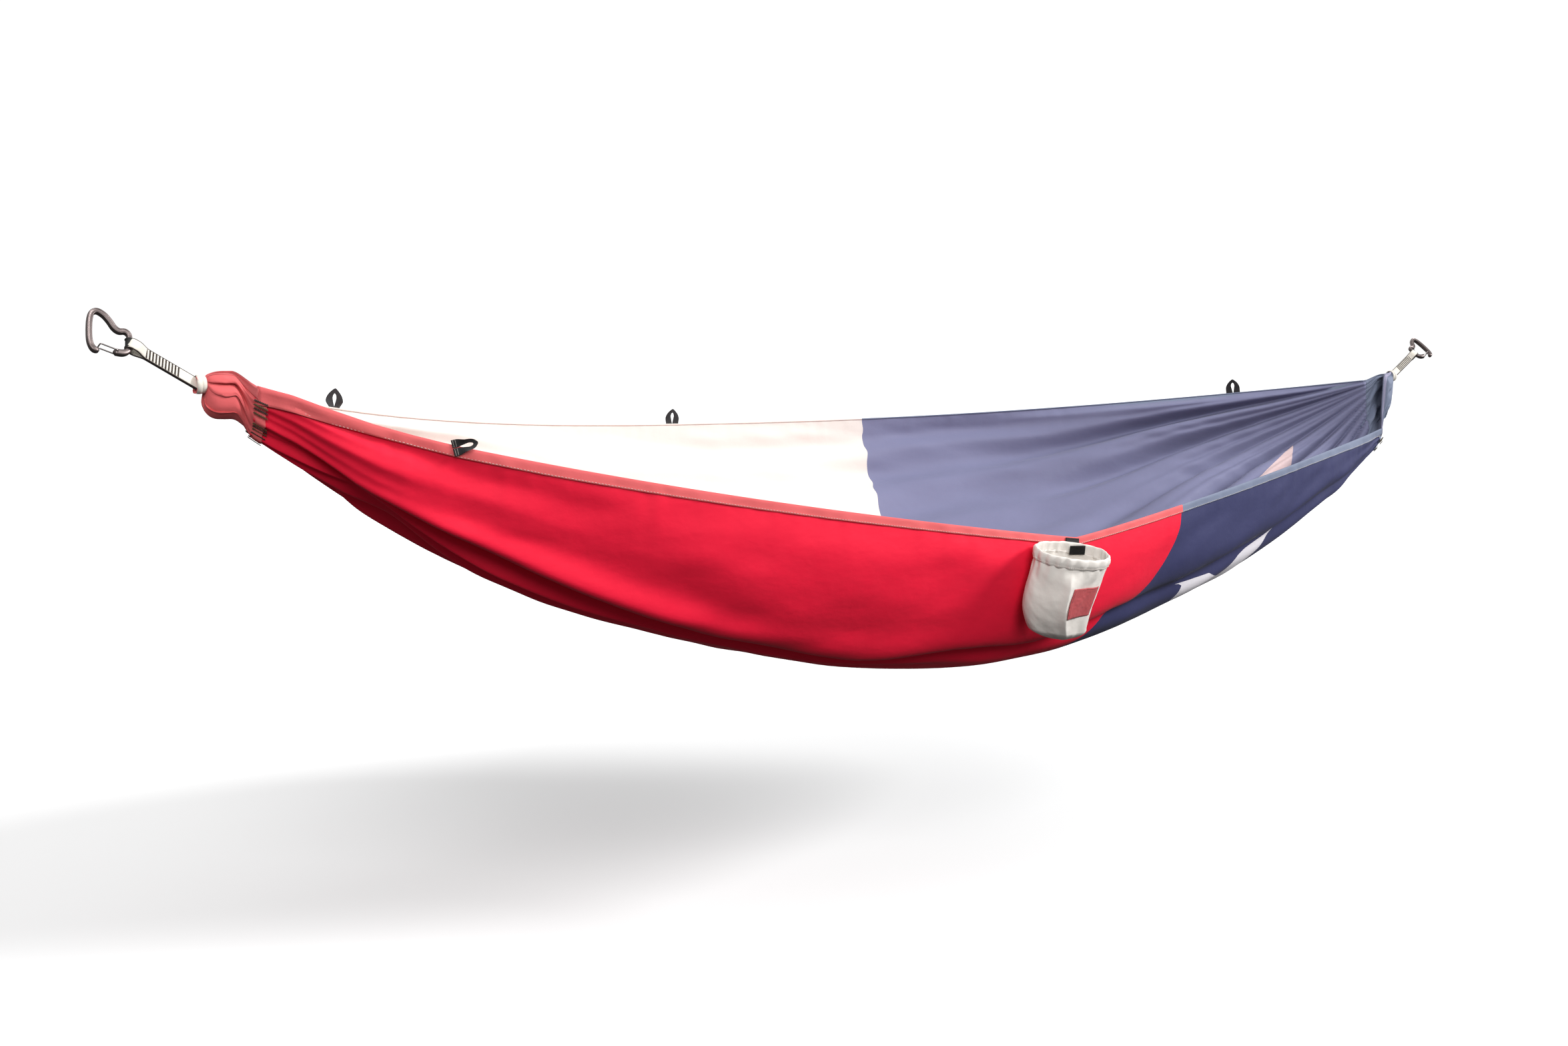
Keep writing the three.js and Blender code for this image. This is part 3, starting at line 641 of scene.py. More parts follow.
def stitches(name, rim, sign, width, inset=.0018):
    t = np.linspace(-.985, .985, int(2 * SEAM_X / STITCH_PITCH))
    w = np.interp(t, hem_t, width) - inset
    v = rim + sign * w / np.interp(t, TT, GG)
    p, out = skin(t, v), skin_normal(t, v)
    return dashes(name, p + out * .0024, np.gradient(p, axis=0), out, M_STITCH)


HEM_CREAM = (.84, .72, .66)
M_HEM = cloth_material("cloth_hem", ((.74, .135, .14), HEM_CREAM, (.19, .22, .31), CREAM), .05, .5)
M_TAPE = cloth_material("cloth_tape", ((.66, .15, .155), HEM_CREAM, (.34, .33, .46), CREAM), .05, .5)
for rim, sign, name in ((0, 1, "front_hem"), (1, -1, "back_hem")):
    ob, width = hem(name + "_fold", rim, sign)
    line = stitches(name + "_stitches", rim, sign, width)
    for o in (ob, line):
        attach(o, "bed")
    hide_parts(name)


# ---- gathered end channels
BUNCH = {-1: (.018, .030, -.013, 9), 1: (.016, .050, -.044, 8)}  # half wide, half high, height, pleats
NECK_X, NECK = 1.269, .021  # where the bunch starts to close on the neck, and over what length
STRIP = [(.0, .0), (.0, .0024), (.014, .0036), (.040, .0034), (.060, .0034), (.063, .0022), (.04, .0018),
         (.0, -.0006), (.03, -.0016), (.0, -.0018)]  # the turned edge's section: across, and out
TACK_V = (.1, .22, .36, .5)


def channel_point(side, s, v, out=.0):
    """s from 0 at the seam to 1 at the throat and beyond; v round the gathered section."""
    hw, hh, zc, lanes = BUNCH[side]
    x = mix(SEAM_X - .004, THROAT_X + .003, s)
    k = smooth(SEAM_X - .006, SEAM_X + (.024 if side < 0 else .036), x)
    u = np.clip((x - NECK_X) / NECK, 0, 1)
    e = 1 - np.sqrt(1 - u * u)
    r = mix(.0086, .0112, smooth(1.2985, 1.303, x))
    a = np.radians(334 * (v - .5))
    base = skin(side * np.minimum(x / SEAM_X, 1) + 0 * v, v)
    lane = lanes * (v + .012 * np.sin(9 * v + side + s * 2)) + .25 * noise1(v * 7 + 3, 50)
    tall = 1 + .5 * noise1(np.floor(lane) * 1.7 + 9.5, 51)
    deep = (.0092 if side < 0 else .0062) * tall * mix(1, .22, e)
    deep = deep * np.sin(np.pi * np.clip(s * .80 + .14, 0, 1)) ** .7
    wave = -deep * ridge(2 * np.pi * lane, 1.8) + .0011 * noise2(lane * 2.7, s * 6 + 4, 52) * (1 - e)
    wave += .0007 * noise2(lane * 6.1 + 9, s * 11 + 4, 53) * (1 - e)
    wave, s = wave * smooth(0, .22, s), np.clip(s, 0, 1)
    puff = .0030 * np.sin(np.pi * s) ** 1.3 * (1 - e)
    n = outward(np.full_like(v, side), v)
    y = mix(base[..., 1], mix(hw, r, e) * np.sin(a), k) + n[..., 1] * (wave + puff + out)
    z = mix(base[..., 2], mix(zc, 0, e) - mix(hh, r, e) * np.cos(a), k) + n[..., 2] * (wave + puff + out)
    x = x + .0016 * noise1(lane * 1.3 + 2, 54) * smooth(.9, 1, s)
    if side < 0:  # the lower pleats bulge past the hitch
        x = x + .013 * (1 - e) * smooth(.3, .9, s) * smooth(.1, .9, np.cos(a))
    return np.stack([side * x, y, z], -1)


for side, end in ((-1, "left"), (1, "right")):
    sv = np.linspace(-.14, 1, 80)
    vv = np.linspace(.0, 1.0, 300)
    S, V2 = np.meshgrid(sv, vv, indexing="ij")
    outer = channel_point(side, S, V2, .0016)
    n = unit(np.cross(np.gradient(outer, axis=1), np.gradient(outer, axis=0))) * side
    uv = {"print": print_uv(side, V2, True, False), "weave": grid(sv * .065, vv * .4)}
    ob = shell(end + "_channel_cloth", outer, outer - n * .0011, [M_HEM], uv, flip=side < 0)
    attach(ob, "bed")
    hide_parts(end + "_channel")
    # its front edge: a turned strip from the front corner up to the throat
    se = np.linspace(.0, .93, 60)
    rows = []
    taper = mix(1, .55, smooth(.3, 1, se)) * (1 if side < 0 else 1.15)
    for w, d in STRIP:
        proud = np.array([0, -.0006, .0010]) if w == 0 else 0  # the rim's own points stand clear of it
        rows.append(channel_point(side, se, w * taper, d) + proud)
    uv = {"print": print_uv(side, np.zeros((len(se), len(STRIP))), True, False),
          "weave": grid(se * .065, np.arange(len(STRIP)) * .002)}
    strip = ring_mesh(end + "_channel_edge", np.stack(rows, 1), M_TAPE, uv, flip=side > 0)
    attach(strip, "bed")
    # bar-tacks across the seam: four close rows of slanted stitches each
    near_girth = girth(side * .99)
    for k, v0 in enumerate(TACK_V):
        rows = []
        for r in range(4):
            t = np.clip(side * (1 - np.linspace(-.001, .015, 17) / SEAM_X), -.9995, .9995)
            v = np.full_like(t, v0 + (r - 1.5) * .0030 / near_girth)
            p = skin(t, v) + outward(t, v) * (.0040 if k == 0 else .0026)
            rows.append(dashes("row", p, np.gradient(p, axis=0), outward(t, v),
                               M_OLIVE if (r + k) % 2 else M_THREAD, .0034, .0013, .0010, .8))
        ob = join(f"{end}_seam_tack_{k + 1}", rows)
        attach(ob, "bed")
        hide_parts(f"{end}_bartack_{k + 1}")


# ---- hitches, slings, carabiners
RISE = math.radians(31.4)
ROLL = {"left": math.radians(25), "right": math.radians(47)}
BINER = {"left": (math.radians(11), math.radians(25)), "right": (math.radians(8), math.radians(50))}
REACH = .097  # from the throat to where the carabiner turns in the sling's eye
HALF_W, PLY, PLY_GAP, TACKED = .0066, .0011, .0014, .072  # webbing: half of each, and the tacked length
WEB_SECTION = [(-1, -.4), (-.985, .55), (-.93, .9), (-.5, 1), (0, 1.02), (.5, 1), (.93, .9), (.985, .55),
               (1, -.4), (.93, -.9), (.5, -1), (0, -1.02), (-.5, -1), (-.93, -.9)]
TURN_SECTION = [(-.0034, 0), (-.0032, .0007), (0, .0010), (.0032, .0007), (.0034, 0), (.0032, -.0004),
                (0, -.0005), (-.0032, -.0004)]
TACK_ROWS, TACK_FROM, TACK_PITCH = 11, .0290, .0045
KEEPER = (-.0062, .0078)  # the rubber's two ends, from the carabiner's pivot
GATE_BEND = .0021
# the carabiner's spine, in millimetres: along, across, and half the bar's width and depth
PATH = np.array([
    (19.4, -14.4, 4.3, 4.4), (8.3, -14, 4.3, 4.4), (2.3, -10.5, 3.9, 4), (0, -4.5, 3.6, 3.6),
    (0, 6, 3.6, 3.6), (1.1, 12.8, 3.8, 3.9), (6, 16.4, 4.1, 4.2), (13.4, 15.4, 4.2, 4.5),
    (19.4, 19, 4.2, 4.6), (25.4, 27, 4.2, 4.6), (32.4, 34, 4.2, 4.6), (40.7, 37.4, 4.1, 4.6),
    (46.7, 33.5, 4, 4.6), (48.8, 24, 4, 4.7), (49, 10, 4, 4.7), (47.9, -4, 4, 4.6),
    (45, -12.5, 4, 4.5), (40.7, -16.4, 3.9, 4.3), (35.7, -14.9, 3.6, 3.9),
]) / 1000
PIVOT, GATE_TIP, WIRE_R, WIRE_HALF = np.array([.0143, -.0142]), np.array([.0363, -.0094]), .00095, .0061



def end_axes(side, rise, roll):
    """Directions at one end: outward and up by rise, across it at a roll, and off both."""
    long = np.array([side * math.cos(rise), 0, math.sin(rise)])
    up = np.array([-side * math.sin(rise), 0, math.cos(rise)])
    across = up * math.cos(roll) + np.array([0, math.sin(roll), 0])
    return long, across, np.cross(long, across)


def space(origin, *axes):
    """A function that turns distances along the axes into points."""
    return lambda *at: sum((q[..., None] * axis for q, axis in zip(alike(*at), axes)), origin)


for side, end in ((-1, "left"), (1, "right")):
    T0 = np.array([side * THROAT_X, 0, 0])
    ax, wide, face = end_axes(side, RISE, ROLL[end])
    face = face * side
    web = space(T0, ax, face, wide)  # along the sling, out of its face, and across its width

    # the sling: two plies of webbing, flat along the tacked part and open round the carabiner
    u = np.linspace(0, 1, 61)
    arm = np.concatenate([np.linspace(-.003, TACKED, 34)[:-1], TACKED + .0165 * smooth(0, 1, u[::4]) ** .9])
    spread = PLY_GAP + .0054 * smooth(TACKED, .0885, arm)
    a = np.linspace(-np.pi / 2, np.pi / 2, 17)[1:-1]
    cx = REACH - .0045
    turn_r, turn_f = cx + .0070 * np.cos(a), .0068 * np.sin(a)
    line_r = np.concatenate([arm, turn_r, arm[::-1]])
    line_f = np.concatenate([-spread, turn_f, spread[::-1]])
    line = np.stack([line_r, line_f], 1)
    nrm, arc = left_of(line), distances(line)
    rings, wuv = [], []
    for k in range(len(line_r)):
        ripple = 1 + .012 * math.sin(arc[k] * 1500)
        rings.append([web(*(line[k] - nrm[k] * q * PLY), p * HALF_W * ripple) for p, q in WEB_SECTION])
        wuv += [(arc[k], p * HALF_W) for p, q in WEB_SECTION]
    sling = ring_mesh(end + "_sling_webbing", rings, M_WEB, {"weave": wuv})
    # dark edge thread along both edges of both plies
    pieces = [sling] + [tube("edge", web(line_r, line_f, w * (HALF_W + .0002)), .00085, M_EDGE, 6, flat=1.3)
                        for w in (-1, 1)]
    sling = join(end + "_sling_webbing", pieces)
    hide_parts(end + "_sling")
    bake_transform(sling)

    # rows of bar-tacks: each a dense zigzag of dark thread over both plies, seen on both faces
    rows = []
    w = np.linspace(-.0056, .0056, 15)
    for k in range(TACK_ROWS):
        for f in (-1, 1):
            p = web(TACK_FROM + k * TACK_PITCH + w * .28, f * (PLY_GAP + PLY), w)
            rows.append(dashes("row", p, ax, face * f, M_THREAD, .0024, .00085, .0009, .25))
    tacks = join(end + "_sling_bartacks", rows)
    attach(tacks, end + "_sling")
    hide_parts(end + "_sling_tacks")

    # hitch: the webbing's loop passes round the gathered neck and through itself
    turns = []
    a = circle(96)
    for off_x, tilt, neck_r in ((-.0052, .0007, .0104), (-.0012, -.0013, .0110)):
        rings = [[(side * (THROAT_X + off_x + px + tilt * math.cos(b)), (neck_r + pr) * math.cos(b),
                   (neck_r + pr) * 1.04 * math.sin(b)) for px, pr in TURN_SECTION] for b in a]
        wuv = [(b * neck_r, px) for b in a for px, pr in TURN_SECTION]
        turns.append(ring_mesh("turn", rings, M_WEB, {"weave": wuv}, loop=True, flip=side > 0))
    knot = web(np.linspace(-.011, .007, 12), -.0030 * np.sin(np.linspace(0, np.pi, 12)), 0)
    thick = .0040 * np.sin(np.linspace(.35, np.pi - .35, 12)) ** .5
    turns.append(tube("knot", knot, thick, M_WEB, 16, flat=.62, side=wide))
    hitch = join(end + "_hitch_webbing", turns, True)
    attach(hitch, "bed")
    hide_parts(end + "_hitch_wrap")

    # carabiner
    N0 = T0 + ax * REACH
    long, rod, flat = end_axes(side, *BINER[end])
    plane = space(N0, long, rod, flat)
    line = spline(PATH, 190)
    nrm, arc = left_of(line[:, :2]), distances(line[:, :2])
    total = arc[-1]
    a = circle(36)
    ca, sa = np.cos(a), np.sin(a)
    rings = []
    for k in range(len(line)):
        end_round = np.sqrt(np.clip(np.minimum(arc[k], total - arc[k]) / .0032, .04, 1))
        beam = smooth(.034, .042, arc[k]) * smooth(total - .006, total - .014, arc[k])
        groove = beam * .30 * np.exp(-(ca / .42) ** 4)
        p = line[k, 2] * np.sign(ca) * np.abs(ca) ** .72 * end_round * mix(1, .90, beam)
        q = line[k, 3] * np.sign(sa) * np.abs(sa) ** .62 * end_round * (1 - groove)
        rings.append(plane(line[k, 0] + nrm[k, 0] * p, line[k, 1] + nrm[k, 1] * p, q))
    body = ring_mesh(end + "_carabiner_body", rings, M_ALLOY, flip=side > 0)
    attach(body, end + "_carabiner")
    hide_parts(end + "_carabiner")

    # keeper: a ribbed rubber sleeve on the narrow end, under the sling's eye
    rings = []
    for h in np.linspace(*KEEPER, 29):
        e = min(h - KEEPER[0], KEEPER[1] - h)
        ribs = bell(h - .0062, .0012) + bell(h + .0046, .0012)
        r = .00395 + .00105 * min(1, e / .0008) ** .5 + .0009 * ribs
        rings.append(plane(r * np.cos(a), h, r * 1.04 * np.sin(a)))
    keeper = ring_mesh(end + "_keeper_rubber", rings, M_RUBBER, caps=False, flip=side < 0)
    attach(keeper, end + "_carabiner")
    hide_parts(end + "_keeper")

    # wire gate: one bent wire, pinned through the foot
    d = GATE_TIP - PIVOT
    reach = np.linalg.norm(d)
    gx, c, h = d / reach, GATE_BEND, WIRE_HALF - GATE_BEND
    pts = np.array([(cx + c * math.cos(b), cy + c * math.sin(b))
                    for k, (cx, cy) in enumerate(((c, -h), (reach - c, -h), (reach - c, h), (c, h)))
                    for b in np.linspace(k - 2, k - 1, 7) * np.pi / 2])
    wire_path = plane(PIVOT[0] + gx[0] * pts[:, 0], PIVOT[1] + gx[1] * pts[:, 0], pts[:, 1])
    up = rod * gx[0] - long * gx[1]
    gate = tube(end + "_gate_wire", wire_path, WIRE_R, M_WIRE, 12, loop=True, side=up)
    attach(gate, end + "_gate")
    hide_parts(end + "_gate")


# ---- gear loops
# station, v, and how many degrees it stands turned
LOOPS = {"back_left": (-.828, 1, 30), "back_middle": (-.134, 1, 10), "back_right": (.842, 1, 0),
         "front_left": (-.8, 0, 0), "front_right": (.8, 0, 0)}
LOOP_W, LOOP_H, LOOP_TUCK = .015, .030, .009


def rim_axes(t, v, e=.004):
    """Directions at a place on a rim: along it, up out of it, and off the cloth."""
    out = outward(t, v)
    along = unit(bed(min(1, t + e), v) - bed(max(-1, t - e), v))
    up = unit(np.cross(out, along))
    if up[2] < 0:
        up, along = -up, -along
    return along, up, np.cross(along, up)


def ribbon_loop(name, origin, X, Y, Z, curl=.0, twist=.0):
    """A ribbon folded to a point with a drop-shaped slit between its legs; X across, Y up, Z out."""
    w, h, tk = LOOP_W, LOOP_H, LOOP_TUCK
    q = lambda a, b, c, k: (1 - k) ** 2 * np.array(a) + 2 * k * (1 - k) * np.array(b) + k * k * np.array(c)
    outer = [np.array((-w, y)) for y in np.linspace(-tk, h * .38, 10)]
    outer += [q((-w, h * .38), (-w * .86, h * .74), (-.0012, h), k) for k in np.linspace(.08, 1, 12)]
    outer = np.array(outer)
    inner = [np.array((-.0007, y)) for y in np.linspace(-tk, .0015, 4)]
    inner += [np.array((mix(-.0009, -.0036, k), mix(.0015, .0150, k))) for k in np.linspace(.15, 1, 8)]
    inner += [np.array((-.0036 * math.cos(b), .0150 + .0075 * math.sin(b)))
              for b in np.linspace(.15, np.pi / 2, 10)]
    inner = np.array(inner)
    both = lambda p: np.vstack([p, (p * (-1, 1))[::-1]])
    outer, inner = both(outer), both(inner)
    k = np.linspace(0, 1, 61)

    def even(p):
        s = distances(p)
        return np.stack([np.interp(k * s[-1], s, p[:, i]) for i in (0, 1)], 1)

    outer, inner, th = even(outer), even(inner), .0006
    cross = [(0, 1), (.04, 1.25), (.5, 1.0), (.96, 1.25), (1, 1),
             (1, -1), (.96, -1.15), (.5, -1), (.04, -1.15), (0, -1)]
    rings, wuv = [], []
    for j in range(len(k)):
        ring = []
        for c, z in cross:
            p = mix(inner[j], outer[j], c)
            lap = .0011 * smooth(.62, .85, p[1] / h) * (1 if j < 30 else -.35)  # one leg folds over the other
            puff = .0014 * math.sin(math.pi * np.clip(p[1] / h, 0, 1))
            x, y, zz = p[0], p[1], z * th + lap + puff + th
            if curl:
                r = 1 / curl
                grow = smooth(-.002, .012, y)
                cx, cz = r * math.sin(x / r), r * (1 - math.cos(x / r))
                x, zz = mix(x, cx, grow), zz + cz * grow
            if twist:
                b = math.radians(twist) * smooth(-.001, .012, y)
                x, zz = x * math.cos(b) - zz * math.sin(b), x * math.sin(b) + zz * math.cos(b)
            ring.append(origin + X * x + Y * y + Z * zz)
            wuv.append((k[j] * .08, c * w))
        rings.append(ring)
    pieces = [ring_mesh(name, rings, M_RIBBON, {"weave": wuv})]
    xs = np.concatenate([np.linspace(-w * .9, -.0022, 9), np.linspace(.0022, w * .9, 9)])
    for y in (-.0028, -.0066):
        p = origin + xs[:, None] * X + y * Y + Z * .0014
        pieces.append(dashes("row", p, X, Z, M_STITCH, .0011, .0004, .0004))
    return join(name, pieces, True)


def turned(X, Y, angle):
    a = math.radians(angle)
    return X * math.cos(a) + Y * math.sin(a), -X * math.sin(a) + Y * math.cos(a)


for key, (t, v, twist) in LOOPS.items():
    X, Y, Z = rim_axes(t, v)
    if key == "front_right":
        down = unit(bed(t, .0345 / girth(t)) - bed(t, 0))
        away = unit(np.cross(X, down))
        if away @ Z > 0:
            away = -away
        origin = off(t, 0, -.0022) + down * .010
        ob = ribbon_loop("gear_loop_front_right_ribbon", origin, np.cross(down, away), down, away)
    elif key == "front_left":
        X2, Y2 = turned(X, Y, -65)
        origin = off(t, v, .0032)
        ob = ribbon_loop("gear_loop_front_left_ribbon", origin, X2 * .75, Y2 * .9, Z * .8, curl=95.0)
    else:
        ob = ribbon_loop(f"gear_loop_{key}_ribbon", off(t, v, .0027), X, Y, Z, twist=twist)
    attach(ob, "bed")
    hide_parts("gear_loop_" + key)


# ---- stuff sack
SACK_T, TAB_W, TAB_H, TAB_T = -.0095, .030, .011, .0016
HINGE = off(SACK_T, 0, .0027 + TAB_T + .001) + np.array([0, 0, .0005])
TURN, LEAN = math.radians(-20), math.radians(12)
TALL, COLLAR, SACK_A, SACK_B = .135, .020, .062, .036  # heights, and the mouth's half width and depth
FLOOR_D, MOUTH_D, FOOT = TALL + COLLAR, .0165, .020  # down to its floor and mouth; the rounding of the floor
PLEATS = 19  # gathers round the collar


def sack_point(a, down, grow=.0, scale=1.0):
    """A point of the hanging sack: a round it, down from its hinge; grow outward, scale about its middle."""
    a, down, grow, scale = alike(a, down, grow, scale)
    k = np.clip((down - COLLAR) / TALL, 0, 1)
    narrow = 1 - .30 * k ** 3
    x = (SACK_A * narrow * scale + grow) * np.cos(a)
    y = (SACK_B * narrow * scale + grow) * np.sin(a)
    out = -(x * math.sin(TURN) + y * math.cos(TURN))
    drop = .008 * (1 - k)
    aside = -.043 - .015 * smooth(0, .095, down) + .020 * np.maximum(0, (down - .095) / .060) ** 2
    x, y, z = aside + x * math.cos(TURN) - y * math.sin(TURN), -.043 - out, -down - drop * (out + .036) / .072
    c, s = math.cos(LEAN), math.sin(LEAN)
    return HINGE + np.stack([x, y * c - z * s, y * s + z * c], -1)


def wrapped(a):
    return (a + np.pi) % (2 * np.pi) - np.pi


def sack_wrinkle(a, down):
    """How far the slack cloth stands in or out of the smooth side."""
    a, down = alike(a, down)
    k = np.clip((down - COLLAR) / TALL, 0, 1)
    tight = np.exp(-((down - COLLAR) / .018))
    gathers = .0012 * np.cos(PLEATS * a + 1.3 * np.sin(2 * a + 1)) * tight
    at = -1.66 + .25 * (k - .4)  # the sharp fold down its front, between a lit and a shaded face
    fold = .0095 * np.exp(-np.abs(wrapped(a - at) / .16) ** 1.3) * smooth(.0, .22, k) * smooth(1.15, .60, k)
    flat = bell(wrapped(a - at - .62), .34) + bell(wrapped(a - at + .70), .42)  # beside the fold it lies flat
    flat = -.0042 * flat * smooth(.02, .35, k)
    long = .0015 * (ridge(2.5 * a + 1.5 * np.sin(a + 3 * k), 1.4) - .4) * smooth(0, .2, k)
    around = lambda m, y, seed: noise2(m * np.cos(a) + 50 + y * .31, m * np.sin(a) + 50 + y, seed)
    buckle = .0008 * around(2.6, down / .022, 64) + .0003 * around(6, down / .009, 65)
    foot = .0010 * around(5, 0, 66) * bell(down - FLOOR_D + .004, .010)
    return gathers + fold + flat + long + buckle + foot


def collar_pleat(a):
    return ridge(PLEATS * a + 1.3 * np.sin(3 * a), .7) - .5


def sack_out(a, down):
    return unit(sack_point(a, down, .01) - sack_point(a, down, 0))


NA = 300
av = circle(NA)
# each row of the sack: how far down, its scale about the middle, and how strong its wrinkles are
levels = [(x, 1.0, 1.0) for x in np.linspace(MOUTH_D, FLOOR_D - FOOT, 90)]
for k in np.linspace(.06, 1, 16):
    b = k * np.pi / 2
    levels.append((FLOOR_D - FOOT + FOOT * math.sin(b), 1 - .97 * (1 - math.cos(b)) ** .8, 1 - .75 * k))
rows_o, rows_i = [], []
for dn, sc, fade in levels:
    w = sack_wrinkle(av, np.full(NA, dn)) * fade - .0006
    tuck = -.0009 * bell(dn - MOUTH_D, .004)
    rows_o.append(sack_point(av, dn, w + tuck, sc))
    rows_i.append(sack_point(av, dn - (.0009 if sc < 1 else 0), w + tuck - .0010 * min(1, sc * 2), sc))
sack = shell("stuff_sack_cloth", np.array(rows_o), np.array(rows_i), [M_SACK],
             {"weave": grid(np.arange(len(rows_o)) * .0014, av * .045)[..., ::-1]}, closed_v=True)
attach(sack, "stuff_sack")
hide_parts("sack_body")

# the collar: a turned channel for a drawcord, gathered all round
rows = []
pleat = collar_pleat(av)
for dn, gr, k in ((.0202, .0002, .5), (.0192, .0012, .8), (.0165, .0013, .9), (.0150, .0021, 1),
                  (.0105, .0027, 1.2), (.0055, .0024, 1.1), (.0035, .0015, .9), (.0024, .0003, .8),
                  (.0026, -.0009, .8), (.0050, -.0016, .7), (.0100, -.0014, .7), (.0160, -.0012, .6),
                  (.0192, -.0012, .5), (.0202, -.0006, .5)):
    rough = noise2(9 * np.cos(av) + 50, 9 * np.sin(av) + 50 + dn / .006, 72)
    w = gr + k * .0021 * pleat + .0008 * rough
    dip = .0012 * noise2(3 * np.cos(av) + 50, 3 * np.sin(av) + 50, 73) if dn < .015 else 0
    rows.append(sack_point(av, dn + dip, w))
rings = np.array(rows).transpose(1, 0, 2)
collar = ring_mesh("stuff_sack_collar_cloth", rings, M_SACK,
                   {"weave": grid(av * .045, np.arange(len(rows)) * .003)}, loop=True)
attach(collar, "stuff_sack")
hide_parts("sack_collar")
aa = circle(110)
seam = sack_point(aa, .0172, .0018 + .9 * .0021 * collar_pleat(aa))
out = sack_out(aa, .0172)
line = dashes("stuff_sack_collar_stitches", seam + out * .0002, np.roll(seam, -1, 0) - seam, out, M_STITCH,
              .0021, .0005, .0005)
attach(line, "stuff_sack")

# the plain patch on its front right, sewn on all round
pa = np.radians(np.linspace(-90, -31, 40))
pd = np.linspace(.051, .103, 44)
PA, PD = np.meshgrid(pa, pd, indexing="ij")
lie = sack_wrinkle(PA, PD) + .0002
edge = np.minimum.outer(*(np.minimum(np.arange(len(q)), np.arange(len(q))[::-1]) for q in (pa, pd)))
puff = .0007 * np.clip(edge / 2.0, 0, 1) + .00025 * noise2(PA * 20 + 50, PD * 300, 75)
patch = shell("stuff_sack_patch_cloth", sack_point(PA, PD, lie + .0006 + puff),
              sack_point(PA, PD, lie - .0002), [M_PATCH], {"weave": grid(pa * .045, pd)}, flip=True)
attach(patch, "stuff_sack")
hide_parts("sack_patch")
path = np.concatenate([[(x, .0532) for x in pa[2:-2]], [(pa[-3], y) for y in pd[3:-3]],
                       [(x, .1008) for x in pa[2:-2][::-1]], [(pa[2], y) for y in pd[3:-3][::-1]]]).T
seam = sack_point(*path, sack_wrinkle(*path) + .0016)
line = dashes("stuff_sack_patch_stitches", seam, np.roll(seam, -1, 0) - seam, sack_out(*path), M_THREAD,
              .0008, .0004, .0003)
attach(line, "stuff_sack")


# the plain woven label at the mouth, and the tab that carries it
def band(name, origin, X, Y, Z, wide, high, thick, mat):
    """A soft woven strip: X across, Y up, Z out, with rounded selvedges."""
    prof = [(-1, 0), (-.98, .8), (-.9, 1.0), (-.84, .75), (0, .85), (.84, .75), (.9, 1.0), (.98, .8), (1, 0),
            (.98, -.8), (.84, -.75), (0, -.85), (-.84, -.75), (-.98, -.8)]
    rings, wuv = [], []
    for k in np.linspace(0, 1, 24):
        cap = min(1, (min(k, 1 - k) / .04) + .3)
        ring = []
        for p, q in prof:
            z = q * thick / 2 * cap + .00012 * math.sin(k * 40 + p * 3)
            ring.append(origin + X * (k - .5) * wide + Y * p * high / 2 + Z * z)
            wuv.append((k * wide, p * high / 2))
        rings.append(ring)
    return ring_mesh(name, rings, mat, {"weave": wuv})


X, Y, Z = rim_axes(SACK_T, 0)
centre = off(SACK_T, 0, .0027 + TAB_T / 2) - Y * (TAB_H / 2 + .001)
pieces = [band("sack_tab_ribbon", centre, X, Y, Z, TAB_W, TAB_H, TAB_T, M_RIBBON)]
xs = np.linspace(-TAB_W * .44, TAB_W * .44, 14)
for y in (-.0036, .0036):
    pieces.append(dashes("row", centre + xs[:, None] * X + Y * y + Z * (TAB_T * .44), X, Z, M_THREAD,
                         .0014, .0005, .0005))
tab = join("sack_tab_ribbon", pieces, True)
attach(tab, "bed")
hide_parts("sack_tab")

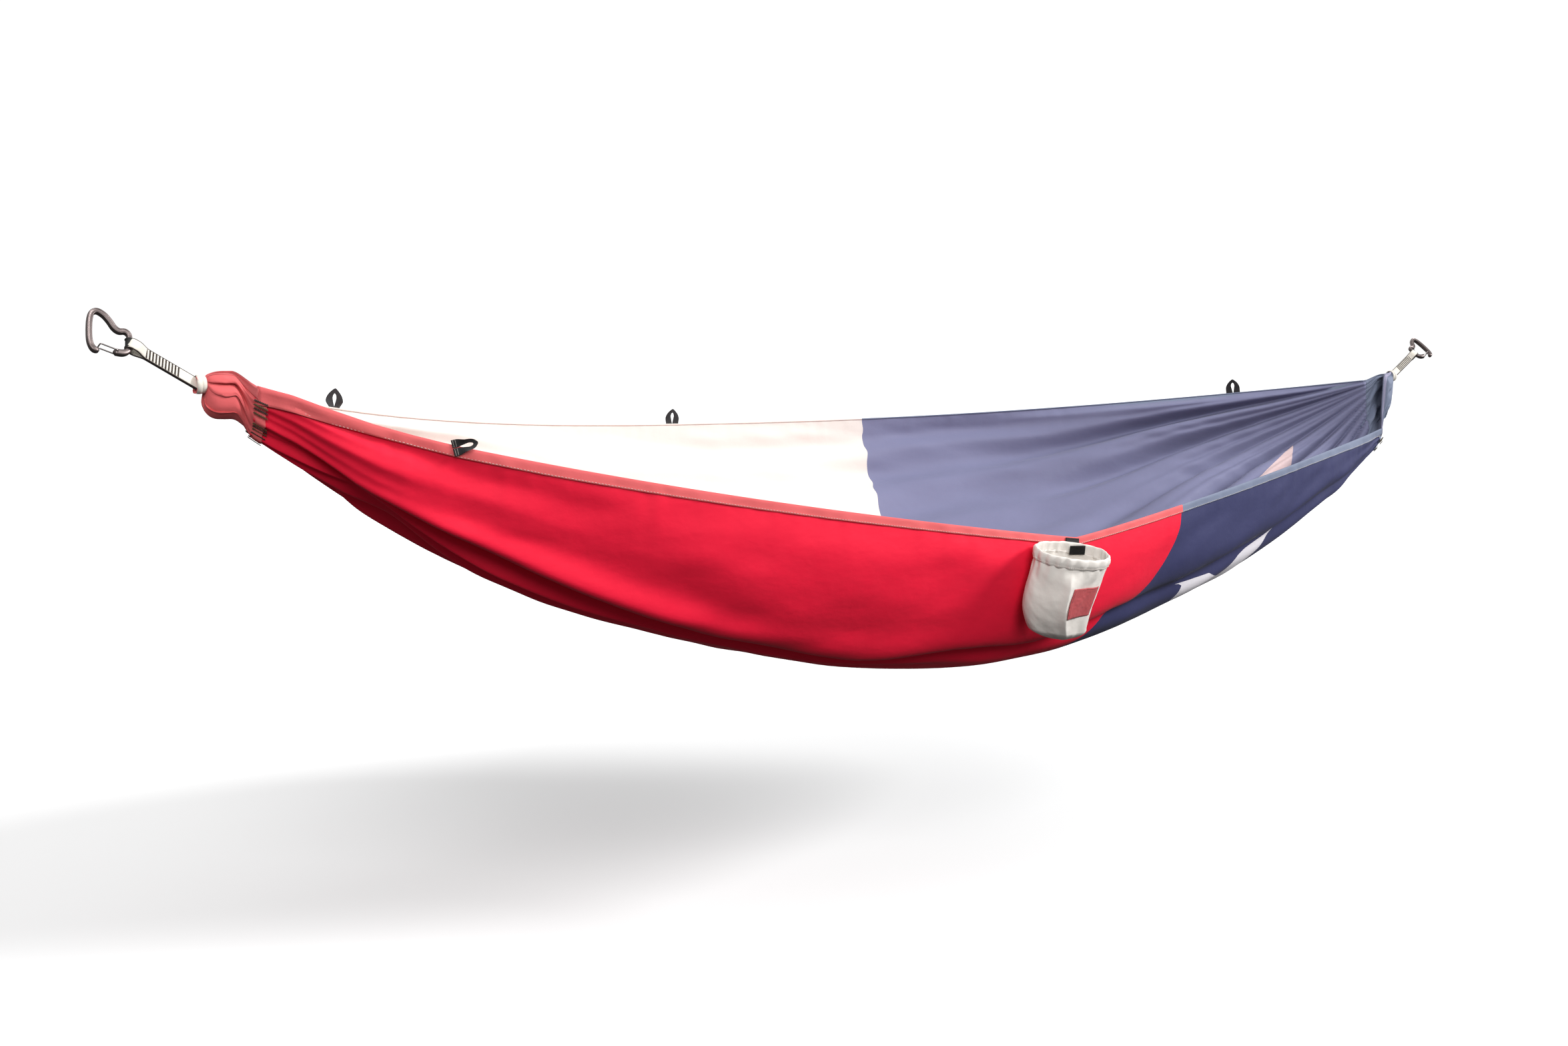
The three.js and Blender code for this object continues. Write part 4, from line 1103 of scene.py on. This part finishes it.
at, tip = math.radians(66), LEAN + math.radians(8)
mid = sack_point(at, .0115, -.0068)
lx = sack_point(at - .14, .0115, -.0068) - sack_point(at + .14, .0115, -.0068)
lx = unit(np.array([lx[0], lx[1], 0]))
ly = unit(np.array([lx[1] * math.sin(tip), -lx[0] * math.sin(tip), math.cos(tip)]))
label = band("stuff_sack_label", mid, lx, ly, np.cross(lx, ly), .025, .016, .001, M_LABEL)
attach(label, "stuff_sack")
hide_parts("sack_label")


# ---- stage
g = Graph("floor")
M_FLOOR = g.finish(g.mix(g.noise(g.place(), .6, 2.0), (.92, .92, .92), (.94, .94, .94)), .9, spec=.0)
FLOOR_HALF = 60.0
corners = [(x * FLOOR_HALF, y * FLOOR_HALF, FLOOR_Z) for x, y in ((-1, -1), (1, -1), (1, 1), (-1, 1))]
floor = mesh_object("floor", corners, [(0, 1, 2, 3)], M_FLOOR)
floor.visible_diffuse = False  # the studio's own glow lights the underside, below
floor.visible_glossy = False

world = bpy.data.worlds.new("studio")
scene.world = world
world.use_nodes = True
w = Nodes(world.node_tree)
x, y, z = w.xyz(w.node("TexCoord"))
# a bright sweep of paper behind the hammock, a soft sky above and a dim floor below
ahead = w.math("MULTIPLY_ADD", x, math.sin(YAW), w.math("MULTIPLY", y, math.cos(YAW)))
soft = dict(interpolation_type="SMOOTHSTEP")
sky = w.remap(z, -.35, .55, WORLD[0], WORLD[1], **soft)
paper = w.math("MULTIPLY", w.remap(ahead, .45, .80, 0, 1, **soft), w.remap(z, -.12, -.02, 0, 1, **soft))
glow = w.math("ADD", sky, w.math("MULTIPLY", paper, w.math("SUBTRACT", 1.08, sky)))
background = world.node_tree.nodes["Background"]
w.put(background.inputs[1], glow)
w.put(background.inputs[0], (1, 1, 1, 1))


def sun(name, toward, power, spread):
    d = bpy.data.lights.new(name, "SUN")
    d.angle, d.energy = math.radians(spread), power
    add(name, d).rotation_euler = Vector(toward).normalized().to_track_quat("Z", "Y").to_euler()


sun("key", (.70, -.54, .47), KEY, 16)
sun("top", (-.05, -.25, 1.0), TOP, 70)
sun("fill", (-.34, -.80, .50), FILL, 30)
